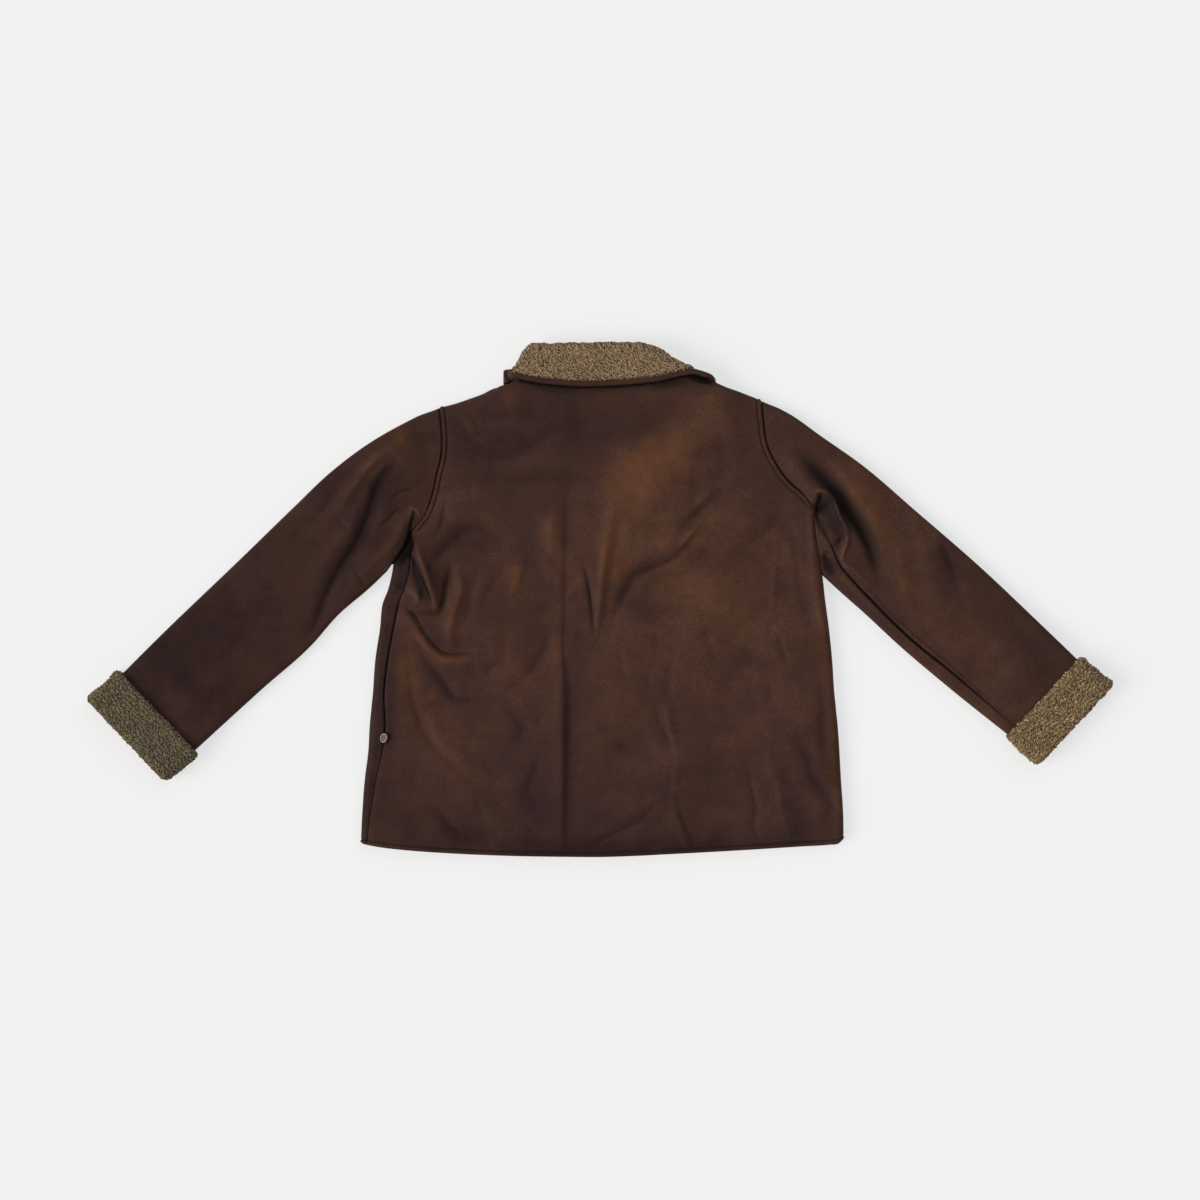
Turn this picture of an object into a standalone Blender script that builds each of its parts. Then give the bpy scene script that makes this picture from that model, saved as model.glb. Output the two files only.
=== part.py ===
"""Faux suede jacket laid flat with its back up.

Each sewn piece is a cloth wall worked out from its outline, seam places and folds.
X runs across the jacket, Y from the hem to the collar, and Z up from the surface
it lies on. Sizes below are in millimetres, and become metres when a mesh is made.
"""
import math

import bpy
import numpy as np

MM = 0.001

# Cloth
WALL = 5.5                  # bonded suede and pile, pressed flat
SEAM_GAP = 0.3              # between two pieces at a seam
EDGE_RADIUS = 7.3           # half the height of two layers turned round an edge
INSIDE_RADIUS = EDGE_RADIUS - WALL

# Front lap
LAP_LEFT = -20.0            # edge of the right front, which lies lowest
LAP_RIGHT = 20.0            # edge of the left front, which lies on it
LAP_RISE = WALL + 0.8
LAP_LIFT = 3.7              # rise of the back over the lap

# Collar
LEAF_WALL = 6.5             # sherpa leaf
LEAF_GAP = 0.4              # between the leaf and the stand it lies on
LEAF_EDGE_WALL = 3.2        # the leaf pressed inside its binding
LEAF_EDGE_LIFT = 1.7        # the pressed edge above the leaf's underside
COLLAR_FOLD_RADIUS = 1.8    # inside the turn at each end of the neck
NECK_MIDDLE = COLLAR_FOLD_RADIUS + WALL + LEAF_GAP + LEAF_WALL
NECK_RISE = NECK_MIDDLE - EDGE_RADIUS
BINDING_WIDTH = 6.6
BINDING_WALL = 1.0
BINDING_REACH = 5.0         # how far the leaf's edge goes into the binding

# Cuffs
CUFF_WALL = 6.0
CUFF_DEPTH = 50.0
CUFF_INSIDE = EDGE_RADIUS + SEAM_GAP
CUFF_OUTSIDE = CUFF_INSIDE + CUFF_WALL
CUFF_LIP = 6.2              # how far the sleeve stops short of the folded end
SLEEVE_RISE = CUFF_OUTSIDE - EDGE_RADIUS
RISE_PARTS = (0.74, 0.97)   # where along the sleeve it rises into its cuff

# Pocket rivets
RIVET_RADIUS = 5.75
RIVET_HEIGHT = 2.0
RIVET_Y = -165.6
DIMPLE_HALF = 8.0
DIMPLE_REACH = 18.0
DIMPLE_DEPTH = 2.5


def named(names, rows):
    """A table as one array for each named column."""
    return dict(zip(names.split(), np.array(rows, dtype=float).T))


# Left silhouette, which the left front turns round: seam is how far in on top the
# back begins. The last row is the underarm.
LEFT_SIDE = named("y edge seam", [
    (-287.0, -287.4, 8.0), (-258.0, -286.0, 10.0), (-217.0, -283.0, 14.0),
    (-176.0, -278.0, 18.0), (-155.0, -277.0, 19.0), (-112.0, -273.0, 14.0),
    (-72.0, -270.0, 15.6), (-31.0, -264.0, 17.0), (-4.0, -261.0, 20.0),
    (12.0, -256.0, 21.0), (41.0, -242.0, 15.0), (62.0, -231.0, 7.0), (81.0, -227.8, 0.0)])

# Right silhouette, which the back turns round: seam is how far in below it ends.
RIGHT_SIDE = named("y edge seam", [
    (-284.0, 292.8, 8.0), (-252.0, 292.2, 12.0), (-216.0, 289.8, 16.0),
    (-155.0, 286.0, 19.0), (-108.0, 281.4, 16.0), (-72.0, 279.0, 17.0),
    (-36.0, 275.4, 18.0), (0.0, 270.6, 18.0), (30.0, 267.3, 14.0),
    (56.0, 264.0, 9.0), (77.0, 259.9, 5.0), (111.0, 258.8, 0.0)])

# Armhole seams, from the underarm to the shoulder tip.
LEFT_ARMHOLE = named("x y", [
    (-227.8, 81.0), (-212.4, 104.4), (-202.8, 133.2), (-192.0, 164.4),
    (-189.6, 196.8), (-191.0, 214.0), (-193.0, 230.6)])
RIGHT_ARMHOLE = named("x y", [
    (258.8, 111.0), (244.8, 127.2), (229.2, 140.4), (211.2, 164.4),
    (200.4, 188.4), (196.8, 212.4), (194.4, 239.0)])

HEM = named("x y", [
    (-292.0, -287.0), (-272.0, -296.0), (-212.0, -303.6), (-152.0, -306.8),
    (0.0, -309.4), (79.0, -306.0), (199.0, -300.5), (278.0, -294.5), (296.0, -284.0)])

# Shoulder lines with the back neck or the front neck between them.
BACK_TOP = named("x y", [
    (-198.0, 230.4), (-184.8, 233.0), (-144.0, 246.0), (-118.0, 255.0), (-108.0, 257.0),
    (-100.0, 261.0), (-60.0, 270.5), (12.0, 274.5), (80.0, 270.5), (118.0, 259.5),
    (130.0, 256.5), (141.0, 255.0), (169.0, 248.4), (196.0, 239.0)])
FRONT_TOP = named("x y", [
    (-198.0, 230.4), (-184.8, 233.0), (-144.0, 246.0), (-118.0, 255.0), (-108.0, 251.0),
    (-86.0, 228.0), (-52.0, 204.0), (12.0, 194.0), (72.0, 203.0), (106.0, 224.0),
    (128.0, 248.0), (141.0, 255.0), (169.0, 248.4), (196.0, 239.0)])
NECK_LEFT, NECK_RIGHT = -117.0, 140.0

# Sleeve outlines, from the armhole to the cuff: top edge, then underarm edge.
LEFT_SLEEVE_TOP = named("x y", [
    (-194.5, 230.9), (-228.0, 215.0), (-270.0, 192.0), (-324.0, 152.4), (-366.0, 112.8),
    (-434.4, 46.8), (-517.2, -32.4), (-573.6, -88.8)])
LEFT_SLEEVE_UNDER = named("x y", [
    (-245.5, 47.0), (-272.4, 18.0), (-313.2, -18.0), (-345.6, -54.0), (-406.8, -108.0),
    (-486.6, -181.2)])
RIGHT_SLEEVE_TOP = named("x y", [
    (194.8, 239.3), (230.4, 220.8), (262.8, 198.0), (314.4, 162.0), (378.0, 108.0),
    (460.8, 36.0), (536.4, -36.0), (573.6, -72.0)])
RIGHT_SLEEVE_UNDER = named("x y", [
    (270.5, 31.0), (281.5, 18.0), (320.4, -18.0), (358.8, -54.0), (422.4, -108.0),
    (489.6, -162.0)])

# Folded end of each cuff: top corner, then underarm corner.
LEFT_CUFF_END = np.array([(-613.2, -123.6), (-530.4, -212.4)])
RIGHT_CUFF_END = np.array([(613.2, -101.0), (531.0, -196.8)])

# Largest folds in the upper layer: height above the layer, half width, then the route.
FOLDS = [
    (3.0, 13, [(-47, 120), (-47, -40), (-49, -180), (-47, -290)]),
    (6.0, 14, [(12, 151), (4, 50), (-4, -44)]),
    (-2.6, 12, [(26, 113), (15, 24), (2, -44)]),
    (7.0, 13, [(-220, 74), (-209, 30), (-198, -4)]),
    (-2.6, 11, [(-184, 32), (-188, 10), (-206, -16)]),
    (5.0, 13, [(-169, 16), (-178, -48)]),
    (3.5, 22, [(-230, -44), (-224, -120), (-218, -197)]),
    (-2.8, 15, [(214, 91), (170, 64), (107, 57), (52, 36), (26, -2)]),
    (4.0, 16, [(205, 118), (150, 92), (96, 84)]),
    (-2.6, 14, [(139, 130), (118, 104), (98, 74)]),
    (4.0, 15, [(-118, 163), (-58, 163)]),
    (-2.6, 14, [(-178, 143), (-120, 140), (-62, 148)]),
    (3.0, 13, [(76, -91), (88, -175), (84, -252)]),
    (3.5, 16, [(179, -128), (204, -200), (226, -282)]),
    (-2.4, 14, [(52, -262), (-20, -292)]),
    (8.0, 15, [(-234, 173), (-255, 176), (-279, 160), (-301, 130), (-322, 96)]),
    (-3.0, 17, [(-251, 154), (-271, 113), (-298, 62), (-329, 8), (-348, -38)]),
    (3.5, 18, [(-420, -2), (-452, -50), (-474, -92)]),
    (-3.0, 14, [(256, 167), (293, 122), (319, 72), (340, 22)]),
    (8.0, 15, [(286, 160), (312, 113), (340, 76), (357, 5)]),
    (7.0, 11, [(270, 128), (292, 84), (296, 50)]),
    (3.5, 15, [(403, 76), (424, 36), (437, -12)]),
]


def smooth(low, high, value):
    """0 below low, 1 above high, and a smooth step between."""
    part = np.clip((value - low) / (high - low), 0.0, 1.0)
    return part * part * (3.0 - 2.0 * part)


def along(path, parts, samples=400):
    """Points at the given parts of the length of a smooth curve through a path's points."""
    points = np.column_stack([path["x"], path["y"]])
    chord = np.r_[0.0, np.cumsum(np.hypot(*np.diff(points, axis=0).T))]
    slope = np.gradient(points, chord, axis=0)
    place = np.linspace(0.0, chord[-1], samples)
    span = np.clip(np.searchsorted(chord, place, side="right") - 1, 0, len(chord) - 2)
    size = (chord[span + 1] - chord[span])[:, None]
    t = (place - chord[span])[:, None] / size
    curve = ((2 * t**3 - 3 * t**2 + 1) * points[span] + (t**3 - 2 * t**2 + t) * size * slope[span]
             + (3 * t**2 - 2 * t**3) * points[span + 1] + (t**3 - t**2) * size * slope[span + 1])
    length = np.r_[0.0, np.cumsum(np.hypot(*np.diff(curve, axis=0).T))]
    wanted = np.asarray(parts) * length[-1]
    return np.column_stack([np.interp(wanted, length, curve[:, k]) for k in (0, 1)])


def line_distance(x, y, route):
    """Distance to a route of straight runs, and how far along it the nearest point is."""
    best = np.full(np.shape(x), 1e9)
    part = np.zeros(np.shape(x))
    route = np.array(route, dtype=float)
    runs = np.hypot(*np.diff(route, axis=0).T)
    start = np.r_[0.0, np.cumsum(runs)]
    for k, run in enumerate(runs):
        step = (route[k + 1] - route[k]) / run
        t = np.clip((x - route[k, 0]) * step[0] + (y - route[k, 1]) * step[1], 0.0, run)
        away = np.hypot(x - route[k, 0] - t * step[0], y - route[k, 1] - t * step[1])
        nearer = away < best
        best = np.where(nearer, away, best)
        part = np.where(nearer, (start[k] + t) / start[-1], part)
    return best, part


def fold_height(x, y):
    """Sum of the soft ridges and troughs, each fading towards its ends."""
    height = np.zeros(np.shape(x))
    for tall, half, route in FOLDS:
        away, part = line_distance(x, y, route)
        fade = 0.35 + 0.65 * np.sin(np.pi * np.clip(part, 0.0, 1.0))
        height += tall * fade * np.exp(-(away / half) ** 2)
    return height


def front_leaf_edge(x):
    """Lower edge of the collar's front leaf, under the fronts."""
    return np.interp(x, COLLAR_FRONT["x"], COLLAR_FRONT["leaf"])


def neck_lift(x, y):
    """Rise of both layers over the front leaf, which lies under them."""
    inside = smooth(-80.0, -32.0, y - front_leaf_edge(x))
    across = smooth(-178.0, -120.0, x) * (1.0 - smooth(146.0, 196.0, x))
    return NECK_RISE * inside * across


def lap_step(x):
    """Rise of the left front's edge onto the right front."""
    return LAP_RISE * smooth(LAP_LEFT - 34.0, LAP_LEFT - 4.0, x)


def lap_lift(x, y):
    """Rise of the back over the lapped fronts, which end at the front neck."""
    across = smooth(LAP_LEFT - 75.0, LAP_LEFT - 40.0, x) * (
        1.0 - smooth(LAP_RIGHT + 22.0, LAP_RIGHT + 62.0, x))
    return LAP_LIFT * across * (1.0 - smooth(212.0, 250.0, y))


def top_fold(x, y):
    """Folds and lap in the upper layer, kept clear of the layer below."""
    room = np.where((x > LAP_LEFT - 45.0) & (x < LAP_RIGHT + 25.0), 0.2, 3.0)
    folds = np.maximum(fold_height(x, y), -room) * (1.0 - smooth(200.0, 240.0, y))
    return lap_lift(x, y) + folds


def dimple(x, y, middle_x):
    """Hollow under the right rivet, flat in its middle."""
    across = 1.0 - smooth(DIMPLE_HALF, DIMPLE_REACH, np.abs(x - middle_x))
    along_y = 1.0 - smooth(DIMPLE_HALF, DIMPLE_REACH, np.abs(y - RIVET_Y))
    return DIMPLE_DEPTH * across * along_y


# Collar stations: X, seam at the neck, roll line and leaf edge, on the back and below.
COLLAR_BACK = named("x neck roll leaf", [
    (-101.0, 263.0, 277.0, 266.5), (-84.0, 269.0, 298.0, 262.0), (-62.0, 272.0, 307.5, 258.5),
    (-30.0, 275.0, 309.2, 256.0), (4.0, 276.0, 309.4, 256.0), (34.0, 275.0, 309.4, 258.0),
    (56.0, 274.0, 307.5, 260.0), (78.0, 272.5, 298.0, 263.0), (98.0, 270.0, 286.0, 266.5),
    (124.0, 261.0, 273.0, 263.0)])
COLLAR_FRONT = named("x neck roll leaf", [
    (-101.0, 256.0, 271.0, 255.0), (-86.0, 232.0, 258.0, 205.0), (-56.0, 208.5, 232.0, 170.0),
    (-24.0, 200.0, 214.0, 153.0), (12.0, 198.0, 210.0, 150.0), (46.0, 200.0, 216.0, 154.0),
    (78.0, 209.0, 234.0, 172.0), (108.0, 230.0, 256.0, 206.0), (124.0, 255.0, 270.0, 254.5)])
TURN_LEFT = named("turn neck roll leaf", [
    (180.0, 256.5, 271.5, 257.5), (150.0, 259.5, 273.0, 259.0), (120.0, 260.5, 274.0, 259.5),
    (90.0, 261.0, 275.0, 260.0), (60.0, 261.5, 276.0, 261.5), (30.0, 262.0, 277.0, 263.0),
    (0.0, 263.0, 279.0, 265.0)])
TURN_RIGHT = named("turn neck roll leaf", [
    (0.0, 261.0, 276.0, 262.0), (30.0, 260.0, 274.0, 260.5), (60.0, 259.0, 272.5, 259.0),
    (90.0, 258.5, 271.5, 258.0), (120.0, 258.5, 271.5, 258.0), (150.0, 258.0, 271.0, 257.5),
    (180.0, 256.0, 270.5, 256.5)])
COLLAR_TURN_LEFT = -116.0 + NECK_MIDDLE
COLLAR_TURN_RIGHT = 139.0 - NECK_MIDDLE
COLLAR_END_LEFT = -24.0
COLLAR_END_RIGHT = 12.0


def clear_scene():
    for thing in list(bpy.data.objects):
        bpy.data.objects.remove(thing, do_unlink=True)


def make_material(name, colour, roughness, metallic=0.0):
    material = bpy.data.materials.new(name)
    material.use_nodes = True
    shader = material.node_tree.nodes["Principled BSDF"]
    shader.inputs["Base Color"].default_value = (*colour, 1.0)
    shader.inputs["Roughness"].default_value = roughness
    shader.inputs["Metallic"].default_value = metallic
    return material


def add_solid(name, points, faces, material):
    """One closed body, turned so that its faces point out."""
    points = np.asarray(points, dtype=float)
    volume = 0.0
    for face in faces:
        a = points[face[0]]
        for k in range(1, len(face) - 1):
            volume += np.dot(a, np.cross(points[face[k]], points[face[k + 1]]))
    if volume < 0:
        faces = [face[::-1] for face in faces]
    mesh = bpy.data.meshes.new(name)
    mesh.from_pydata((points * MM).tolist(), [], faces)
    mesh.materials.append(material)
    mesh.shade_smooth()
    mesh.set_sharp_from_angle(angle=math.radians(40))
    thing = bpy.data.objects.new(name, mesh)
    bpy.context.scene.collection.objects.link(thing)
    return thing


def grid_faces(rows, columns, start=0, flip=False):
    """Quads of a grid of points counted row by row."""
    faces = []
    for r in range(rows - 1):
        for c in range(columns - 1):
            a = start + r * columns + c
            quad = [a, a + 1, a + columns + 1, a + columns]
            faces.append(quad[::-1] if flip else quad)
    return faces


def panel_solid(name, rows, material):
    """A cloth wall from rows of outer points, each with its inner points."""
    outer = np.array([row[0] for row in rows])
    inner = np.array([row[1] for row in rows])
    count, columns, _ = outer.shape
    size = count * columns
    faces = grid_faces(count, columns) + grid_faces(count, columns, size, flip=True)
    rim = ([c for c in range(columns)]
           + [r * columns + columns - 1 for r in range(1, count)]
           + [(count - 1) * columns + c for c in range(columns - 2, -1, -1)]
           + [r * columns for r in range(count - 2, 0, -1)])
    for a, b in zip(rim, rim[1:] + rim[:1]):
        faces.append([b, a, a + size, b + size])
    points = np.concatenate([outer.reshape(-1, 3), inner.reshape(-1, 3)])
    return add_solid(name, points, faces, material)


def ring_solid(name, rings, material, closed):
    """Rings of points joined in turn, back to the first ring or capped at both ends."""
    rings = np.asarray(rings)
    count, size, _ = rings.shape
    faces = []
    for k in range(count if closed else count - 1):
        here, there = k * size, (k + 1) % count * size
        for c in range(size):
            d = (c + 1) % size
            faces.append([here + c, here + d, there + d, there + c])
    if not closed:
        faces.append(list(range(size))[::-1])
        faces.append([(count - 1) * size + c for c in range(size)])
    return add_solid(name, rings.reshape(-1, 3), faces, material)


# ---- Body: back and fronts ----

RIGHT_ROWS = [-284, -258, -222, RIVET_Y - DIMPLE_REACH, RIVET_Y - DIMPLE_HALF, RIVET_Y + DIMPLE_HALF,
              RIVET_Y + DIMPLE_REACH, -112, -76, -40, -6, 26, 54, 80, 98, 111]
ARM_PARTS = [0.16, 0.4, 0.66, 0.88]
TOP_PARTS = [0.955, 0.985, 1.0]
TOP_OFFSETS = [EDGE_RADIUS, 2.5, 0.0]
QUARTER = math.pi / 2 * EDGE_RADIUS


def seam_arc(inset):
    """Length round the edge from its outermost line to a seam that far in."""
    if inset >= EDGE_RADIUS:
        return QUARTER + inset - EDGE_RADIUS
    return EDGE_RADIUS * math.acos(1.0 - inset / EDGE_RADIUS)


def body_rows(top):
    """Rows from the hem up: both ends, and how each row bends to the hem or the top."""
    rows = []
    for y in RIGHT_ROWS:
        part = (y - RIGHT_ROWS[0]) / (RIGHT_ROWS[-1] - RIGHT_ROWS[0])
        left_y = LEFT_SIDE["y"][0] + part * (LEFT_SIDE["y"][-1] - LEFT_SIDE["y"][0])
        left = [np.interp(left_y, LEFT_SIDE["y"], LEFT_SIDE[k]) for k in ("edge", "seam")]
        right = [np.interp(y, RIGHT_SIDE["y"], RIGHT_SIDE[k]) for k in ("edge", "seam")]
        rows.append(dict(side=True, left=(left[0], left_y), right=(right[0], y), top=top,
                         left_seam=left[1], right_seam=right[1],
                         hem=max(0.0, 1.0 - part / 0.42) ** 2, up=0.0, down=None))
    left = along(LEFT_ARMHOLE, ARM_PARTS + TOP_PARTS)
    right = along(RIGHT_ARMHOLE, ARM_PARTS + TOP_PARTS)
    ups = [part ** 1.4 for part in ARM_PARTS] + [1.0] * 3
    downs = [None] * len(ARM_PARTS) + TOP_OFFSETS
    for a, b, up, down in zip(left, right, ups, downs):
        rows.append(dict(side=False, left=a, right=b, top=top, hem=0.0, up=up, down=down))
    return rows


def straight(ends, x):
    """Height at x of the straight line between two ends."""
    (xl, yl), (xr, yr) = ends
    return yl + (x - xl) / (xr - xl) * (yr - yl)


def row_y(row, x):
    """Height up the jacket of a row at x: straight, bent to the hem or to the top edge."""
    edge = np.interp(x, row["top"]["x"], row["top"]["y"])
    if row["down"] is not None:
        return edge - row["down"]
    hem_ends = ((LEFT_SIDE["edge"][0], LEFT_SIDE["y"][0]), (RIGHT_SIDE["edge"][0], RIGHT_SIDE["y"][0]))
    tips = [(hole["x"][-1], hole["y"][-1]) for hole in (LEFT_ARMHOLE, RIGHT_ARMHOLE)]
    return (straight((row["left"], row["right"]), x)
            + row["hem"] * (np.interp(x, HEM["x"], HEM["y"]) - straight(hem_ends, x))
            + row["up"] * (edge - straight(tips, x)))


def round_section(row, s):
    """X, height and outward direction at lengths s round the flat tube, over the top."""
    r = EDGE_RADIUS
    left, right = row["left"][0], row["right"][0]
    length = row_length(row)
    from_right = s > length / 2
    arc = np.where(from_right, length - s, s)
    turn = np.clip(arc / r, -math.pi / 2, math.pi / 2)
    flat = np.maximum(np.abs(arc) - QUARTER, 0.0)
    inset = r - r * np.cos(turn) + flat
    x = np.where(from_right, right - inset, left + inset)
    out_x = np.where(from_right, 1.0, -1.0) * np.cos(turn)
    return x, r * np.sin(turn), out_x, np.sin(turn)


def row_length(row):
    """Length over the top of a row, between its outermost lines."""
    return (math.pi - 2.0) * EDGE_RADIUS + row["right"][0] - row["left"][0]


def offsets_between(start, end, near_start, near_end, middle):
    """Places from start to end: some at set distances from each end, the rest even."""
    first = start + np.array(near_start)
    last = end - np.array(near_end[::-1])
    between = np.linspace(first[-1], last[0], middle + 2)[1:-1]
    return np.concatenate([first, between, last])


def finish_row(row, x, z, out_x, out_z, upper_layer):
    """A row's outer and inner points: flat section, rolled shoulder, lifts and folds."""
    y = row_y(row, x)
    out_y = np.zeros_like(x)
    if row["down"] is not None:
        shoulder = (1.0 - smooth(NECK_LEFT - 12.0, NECK_LEFT + 2.0, x)) + smooth(
            NECK_RIGHT - 2.0, NECK_RIGHT + 12.0, x)
        out_y = shoulder * (1.0 - row["down"] / EDGE_RADIUS)
        out_z = np.sign(z) * np.sqrt(1.0 - out_y ** 2)
        z = EDGE_RADIUS * np.sign(z) * np.maximum(np.abs(out_z), 0.03)
    lift = neck_lift(x, y) + dimple(x, y, right_seam_x()) * (z < 0)
    if upper_layer:
        lift = lift + np.clip(z / EDGE_RADIUS, 0.0, 1.0) ** 2 * top_fold(x, y)
    outer = np.column_stack([x, y, EDGE_RADIUS + z + lift])
    return outer, outer - WALL * np.column_stack([out_x, out_y, out_z])


def straight_row(x, level):
    """The same values as round_section for a row that ends at the armholes."""
    return x, np.full(x.shape, level * EDGE_RADIUS), np.zeros(x.shape), np.full(x.shape, level)


def back_panel(material):
    rows = []
    for row in body_rows(BACK_TOP):
        if row["side"]:
            start = seam_arc(row["left_seam"]) + SEAM_GAP / 2
            end = row_length(row) + seam_arc(row["right_seam"]) - SEAM_GAP / 2
            s = offsets_between(start, end, [0, 8, 20, 36], [0, 8, 15, 21, 27, 33, 44, 62], 10)
            section = round_section(row, s)
        else:
            left, right = row["left"][0] + SEAM_GAP / 2, row["right"][0] - SEAM_GAP / 2
            x = offsets_between(left, right, [0, 8, 20, 36], [0, 4, 9, 14, 20, 27, 38, 56], 10)
            section = straight_row(x, 1.0)
        rows.append(finish_row(row, *section, True))
    return panel_solid("back", rows, material)


def left_front(material):
    rows = []
    lap = np.array([LAP_RIGHT, LAP_LEFT - 4.0, LAP_LEFT - 19.0, LAP_LEFT - 36.0])
    near = [0, 6, 12, 18, 24, 31, 42]
    for row in body_rows(FRONT_TOP):
        left = row["left"][0]
        if row["side"]:
            reach = left + EDGE_RADIUS - QUARTER
            end = seam_arc(row["left_seam"]) - SEAM_GAP / 2
            s = offsets_between(reach - lap[-1], end, [0], near, 3)
            section = round_section(row, np.concatenate([reach - lap[:-1], s]))
        else:
            x = offsets_between(-lap[-1], -left - SEAM_GAP / 2, [0], near, 3)
            section = straight_row(np.concatenate([lap[:-1], -x]), -1.0)
        outer, inner = finish_row(row, *section, row["side"])
        step = lap_step(outer[:, 0]) * (outer[:, 0] > LAP_LEFT - 60.0)
        outer[:, 2] += step
        inner[:, 2] += step
        rows.append((outer, inner))
    return panel_solid("front_left", rows, material)


def right_front(material):
    rows = []
    lap = np.array([LAP_RIGHT, LAP_LEFT])
    near = [0, 8, 18, 40]
    for row in body_rows(FRONT_TOP):
        right = row["right"][0]
        if row["side"]:
            reach = row_length(row) + QUARTER + right - EDGE_RADIUS
            start = row_length(row) + seam_arc(row["right_seam"]) + SEAM_GAP / 2
            s = offsets_between(start, reach - lap[0], near, [0], 4)
            section = round_section(row, np.r_[s, reach - lap[1]])
        else:
            x = -offsets_between(SEAM_GAP / 2 - right, -lap[0], near, [0], 4)
            section = straight_row(np.r_[x, lap[1]], -1.0)
        rows.append(finish_row(row, *section, False))
    return panel_solid("front_right", rows, material)


def right_seam_x():
    edge, seam = [np.interp(RIVET_Y, RIGHT_SIDE["y"], RIGHT_SIDE[k]) for k in ("edge", "seam")]
    return edge - seam


# ---- Sleeves and cuffs ----

SLEEVE_PARTS = [0.0, 0.008, 0.024, 0.075, 0.14, 0.22, 0.31, 0.41, 0.52, 0.63, 0.74, 0.84, 0.92, 1.0]
ARC_STEPS = np.radians([45.0, 0.0, -45.0])


def tube_ring(middle, half, level, lift):
    """A ring round a flat tube: over the top, round one edge, back below, round the other."""
    half = np.broadcast_to(half, (len(middle),))
    parts = [np.column_stack([middle, level + half + lift])]
    for end, before in ((-1, -2), (0, 1)):
        out = middle[end] - middle[before]
        out = out / np.linalg.norm(out)
        steps = ARC_STEPS if end == -1 else -ARC_STEPS
        arc = [np.r_[middle[end] + half[end] * math.cos(a) * out, level + half[end] * math.sin(a)]
               for a in steps]
        if end == -1:
            parts += [np.array(arc), np.column_stack([middle, level - half])[::-1]]
        else:
            parts.append(np.array(arc))
    return np.concatenate(parts)


def sleeve_lines(top_edge, under_edge, armhole, side):
    """Middle lines across a sleeve at each station, the first along its armhole."""
    hole = np.column_stack([armhole["x"], armhole["y"]])[::-1]
    hole[:, 0] += side * 2 * SEAM_GAP
    corner = np.array([under_edge["x"][0], under_edge["y"][0]])
    tip = np.array([top_edge["x"][0], top_edge["y"][0]])
    hole_length = np.hypot(*np.diff(hole, axis=0).T).sum()
    beside = np.hypot(*(corner - hole[-1]))
    shared = along(dict(x=hole[:, 0], y=hole[:, 1]),
                   [EDGE_RADIUS / hole_length] + [1.0 - part for part in ARM_PARTS[::-1]] + [1.0])
    below = [hole[-1] + part * (corner - hole[-1]) for part in (0.5, 1.0 - EDGE_RADIUS / beside)]
    seam = np.vstack([shared, below])
    across = np.r_[0.0, np.cumsum(np.hypot(*np.diff(seam, axis=0).T))]
    across = across / across[-1]
    starts = along(top_edge, SLEEVE_PARTS)
    ends = along(under_edge, SLEEVE_PARTS)
    starts[0], ends[0] = tip, corner
    bow = seam - (seam[0] + across[:, None] * (seam[-1] - seam[0]))
    lines = [seam]
    for part, a, b in zip(SLEEVE_PARTS[1:], starts[1:], ends[1:]):
        flat = (b - a) / np.linalg.norm(b - a)
        a, b = a + EDGE_RADIUS * flat, b - EDGE_RADIUS * flat
        lines.append(a + across[:, None] * (b - a) + bow * (1.0 - part) ** 3)
    return lines, across


def cuff_axis(top_edge, under_edge, cuff_end):
    """The sleeve's two end points and the direction from them to the folded cuff end."""
    start = np.array([[e["x"][-1], e["y"][-1]] for e in (top_edge, under_edge)])
    axis = cuff_end.mean(axis=0) - start.mean(axis=0)
    return start, axis / np.linalg.norm(axis)


def sleeve(name, material, top_edge, under_edge, armhole, cuff_end, side):
    lines, across = sleeve_lines(top_edge, under_edge, armhole, side)
    _, axis = cuff_axis(top_edge, under_edge, cuff_end)
    lines.append(lines[-1] + axis * (CUFF_DEPTH - CUFF_LIP) / 2)
    lines.append(lines[-2] + axis * (CUFF_DEPTH - CUFF_LIP))
    pinched = np.r_[np.zeros(len(across) - 3), 0.6, 1.0, 1.0]
    open_part = smooth(0.0, 0.12, across) * (1.0 - smooth(0.88, 1.0, across))
    outer, inner = [], []
    for part, line in zip(SLEEVE_PARTS + [1.05, 1.1], lines):
        level = EDGE_RADIUS + SLEEVE_RISE * smooth(*RISE_PARTS, part)
        roll = {0.0: 0.06, 0.008: 0.75}.get(part, 1.0)
        half = EDGE_RADIUS * (1.0 - pinched * (1.0 - roll))
        narrow = 0.08 if part < 0.02 else 1.0
        inside = INSIDE_RADIUS * (1.0 - pinched * (1.0 - narrow))
        folds = np.maximum(fold_height(line[:, 0], line[:, 1]), -3.0)
        lift = folds * open_part * (1.0 - smooth(0.86, 0.97, part))
        lift = lift * (1.0 - pinched * (1.0 - min(1.0, part / 0.024)))
        outer.append(tube_ring(line, half, level, lift))
        inner.append(tube_ring(line, inside, level, lift))
    return ring_solid(name, outer + inner[::-1], material, closed=True)


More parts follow.
